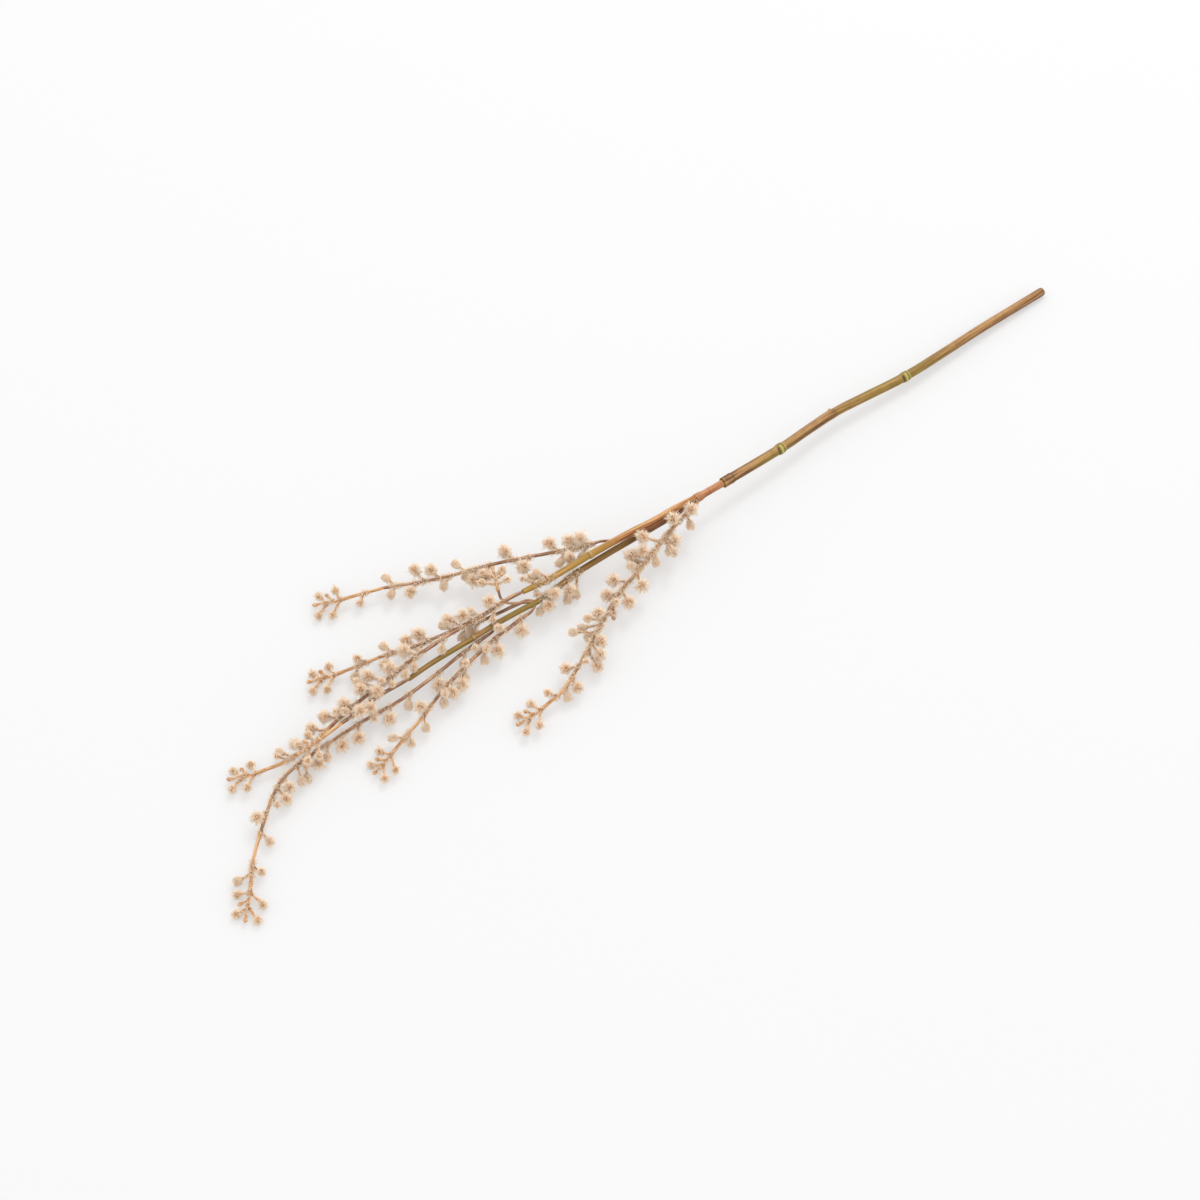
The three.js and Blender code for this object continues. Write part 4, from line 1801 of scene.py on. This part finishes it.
@dataclass
class Sprig:
    """A side sprig: its stem, tan tip, bud sleeves and end spray."""

    reader: FrameReader
    shop: Workshop
    name: str
    seed: int
    olive_root: float = 0.0
    root_slant: float = 1.5
    least_gap: float = 0.6
    root_reach: float = 2.5

    def build(self, parents: list[CentreLine]) -> None:
        """Build the whole sprig.

        Args:
            parents: The centre lines that it may start from.
        """
        stem_node, tip_node = f"{self.name}_stem", f"{self.name}_tip"
        stem = self._stem_line(stem_node, parents)
        parts = [(stem_node, stem, SPRIG_PLASTIC, "sprig_brown")]
        whole = stem
        if tip_node in self.reader.nodes:
            tip = self.reader.tube(tip_node, stem.centres[-1])
            parts.append((tip_node, tip, TAN_PLASTIC, "tip_tan"))
            whole = CentreLine([*stem.centres, *tip.centres[1:]], [*stem.ring_radii, *tip.ring_radii[1:]])
        buds = []
        for number, node in enumerate(sleeve_nodes(self.reader, self.name)):
            seed = self.seed + number
            group = BudGroup(self.reader, self.shop, node, whole, STALK_PLASTIC, BROWN_CORE, seed)
            buds += group.build()
        for node, line, finish, slot in parts:
            roots = [line.nearest_to_ray(bud.centre, -bud.axis) for bud in buds if self._grows_on(bud, line)]
            Stem(self.shop, f"{node}_skin", node, line, finish, slot,
                 olive_root=self.olive_root if node == stem_node else 0.0).build(roots)
        axis = EndSpray.axis_from(parts[-1][1])
        node = f"{self.name}_end_spray"
        EndSpray(self.reader, self.shop, node, axis, TAN_PLASTIC, TAN_CORE, self.seed + SPRAY_SEED).build()

    def _stem_line(self, node: str, parents: list[CentreLine]) -> CentreLine:
        """Read the stem from the end that lies nearest to any parent.

        Args:
            node: The stem's node.
            parents: The centre lines that it may start from.

        Returns:
            The stem's centre line, root first.
        """
        low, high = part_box(node)
        line = self.reader.tube(node, high / MM)
        ends = [line.centres[0], line.centres[-1]]
        gaps = [min((point - end).length for parent in parents for point in parent.points) for end in ends]
        nearer = ends[0] if gaps[0] <= gaps[1] else ends[1]
        line = self.reader.tube(node, nearer)
        return self._rooted(line, parents)

    def _rooted(self, line: CentreLine, parents: list[CentreLine]) -> CentreLine:
        """Carry a stem's root back into the parent that it grows from.

        Args:
            line: The stem's centre line as the frame holds it.
            parents: The centre lines that it may start from.

        Returns:
            The centre line with its root inside the parent.
        """
        start = line.centres[0]
        parent = min(parents, key=lambda other: min((point - start).length for point in other.points))
        gaps = [(point - start).length for point in parent.points]
        nearest = parent.marks[gaps.index(min(gaps))]
        back = min(gaps) * self.root_slant
        anchor = parent.at(max(nearest - back, 0.0)).point
        if (anchor - start).length < self.least_gap:
            return line
        return CentreLine([anchor, *line.centres], [line.ring_radii[0], *line.ring_radii])

    def _grows_on(self, bud: Bud, line: CentreLine) -> bool:
        """Tell whether a bud's stalk leaves this stretch of the sprig."""
        return min((point - bud.root.point).length for point in line.points) < self.root_reach


def sleeve_nodes(reader: FrameReader, name: str) -> list[str]:
    """Return the bud sleeves of a branch or sprig, in order."""
    return sorted(node for node in reader.nodes if node.startswith(f"{name}_buds_"))


# ---- Studio ----


@dataclass
class Studio:
    """The pale floor, the soft light and the camera, placed from the object's middle and size."""

    centre: Vector
    size: Vector
    floor_half: float = 6.0
    floor_cells: int = 24
    floor_glow: float = 0.37
    floor_tones: tuple[Colour, Colour] = ((0.445, 0.445, 0.447, 1.0), (0.455, 0.455, 0.457, 1.0))
    fibre_grain: float = 900.0
    room_strength: float = 1.16
    lamp_offset: Triple = (1.57, 1.06, 2.4)
    lamp_side: float = 0.9
    lamp_watts: float = 21.0
    lamp_colour: Triple = (1.0, 0.99, 0.98)
    azimuth_degrees: float = 36.24
    pitch_degrees: float = 58.0
    distance_metres: float = 1.470
    view_degrees: float = 27.64
    aim_shares: tuple[float, float] = (0.0636, 0.1262)
    nearest_metres: float = 0.01

    def build(self) -> None:
        """Set up the floor, the lights and the camera."""
        self._floor()
        self._world()
        self._lamp()
        self._camera()
        scene = bpy.context.scene
        scene.view_settings.view_transform = "Standard"
        scene.view_settings.look = "None"

    def _floor(self) -> None:
        """Lay a pale, faintly grained floor, which glows a little so that shadows stay faint."""
        mesh = bmesh.new()
        bmesh.ops.create_grid(mesh, x_segments=self.floor_cells, y_segments=self.floor_cells,
                              size=self.floor_half)
        data = bpy.data.meshes.new("floor")
        mesh.to_mesh(data)
        mesh.free()
        recipe = Recipe("floor_paper")
        recipe.set(Specular_IOR_Level=0.1, Emission_Color=WHITE, Emission_Strength=self.floor_glow)
        fibres = recipe.grain(recipe.on_object(), self.fibre_grain, 2.0)
        colour = recipe.ramp(fibres, list(zip((0.0, 1.0), self.floor_tones)))
        rough = recipe.spread(fibres, 0.0, 1.0, 0.9, 1.0)
        data.materials.append(recipe.finish(colour, rough, fibres, 0.01))
        add_object("floor", data)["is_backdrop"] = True

    def _world(self) -> None:
        """Fill the room with even soft light."""
        world = bpy.data.worlds.new("soft_room")
        world.use_nodes = True
        background = world.node_tree.nodes["Background"]
        background.inputs["Color"].default_value = WHITE
        background.inputs["Strength"].default_value = self.room_strength
        bpy.context.scene.world = world

    def _lamp(self) -> None:
        """Hang a square soft light that faces the object."""
        data = bpy.data.lights.new("window_light", "AREA")
        data.size = self.lamp_side
        data.energy = self.lamp_watts
        data.color = self.lamp_colour
        offset = Vector(self.lamp_offset)
        lamp = add_object("window_light", data)
        lamp.location = self.centre + offset
        lamp.rotation_euler = (-offset).to_track_quat("-Z", "Y").to_euler()

    def _camera(self) -> None:
        """Aim the camera from above at a point a little towards the sprig tips."""
        turn, pitch = math.radians(self.azimuth_degrees), math.radians(self.pitch_degrees)
        ahead = Vector((math.sin(turn) * math.cos(pitch), math.cos(turn) * math.cos(pitch), -math.sin(pitch)))
        along, across = self.aim_shares
        aim = Vector((self.centre.x - self.size.x * along, self.centre.y - self.size.y * across, 0.0))
        data = bpy.data.cameras.new("camera")
        data.sensor_fit = "HORIZONTAL"
        data.angle = math.radians(self.view_degrees)
        data.clip_start = self.nearest_metres
        camera = add_object("camera", data)
        camera.location = aim - ahead * self.distance_metres
        camera.rotation_euler = ahead.to_track_quat("-Z", "Y").to_euler()
        bpy.context.scene.camera = camera


def upper_olive(share: float) -> float:
    """Return how olive the upper branch is, by the share of its length."""
    return 0.95 * smooth(0.4, 0.62, share)


def lower_olive(share: float) -> float:
    """Return how olive the lower branch is, by the share of its length."""
    return 0.5 * smooth(0.16, 0.28, share) + 0.5 * smooth(0.5, 0.56, share)


def main() -> None:
    """Build the spray around the frame, class by class."""
    logging.basicConfig(level=logging.INFO, format="%(name)s: %(message)s")
    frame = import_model()
    solid_low, solid_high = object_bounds()
    reader = FrameReader(frame["nodes"])
    shop = Workshop()
    Studio((solid_low + solid_high) / 2.0, solid_high - solid_low).build()
    neck = Cane(reader, shop).build()
    fork = neck.at(neck.length).point
    upper = Branch(reader, shop, "upper_branch", UPPER_PLASTIC, "upper_branch_olive", upper_olive, UPPER_SEED)
    lower = Branch(reader, shop, "lower_branch", LOWER_PLASTIC, "lower_branch_brown", lower_olive, LOWER_SEED)
    lines = [neck, upper.build(fork), lower.build(fork)]
    stems = [node for node in reader.nodes if node.endswith("_stem") and node != Cane.node]
    for number, name in enumerate(sorted({node.removesuffix("_stem") for node in stems})):
        olive_root = TAN_ROOT if name == TAN_ROOTED else 0.0
        Sprig(reader, shop, name, SPRIG_SEED + SPRIG_SEED_STEP * number, olive_root).build(lines)


if __name__ == "__main__":
    main()
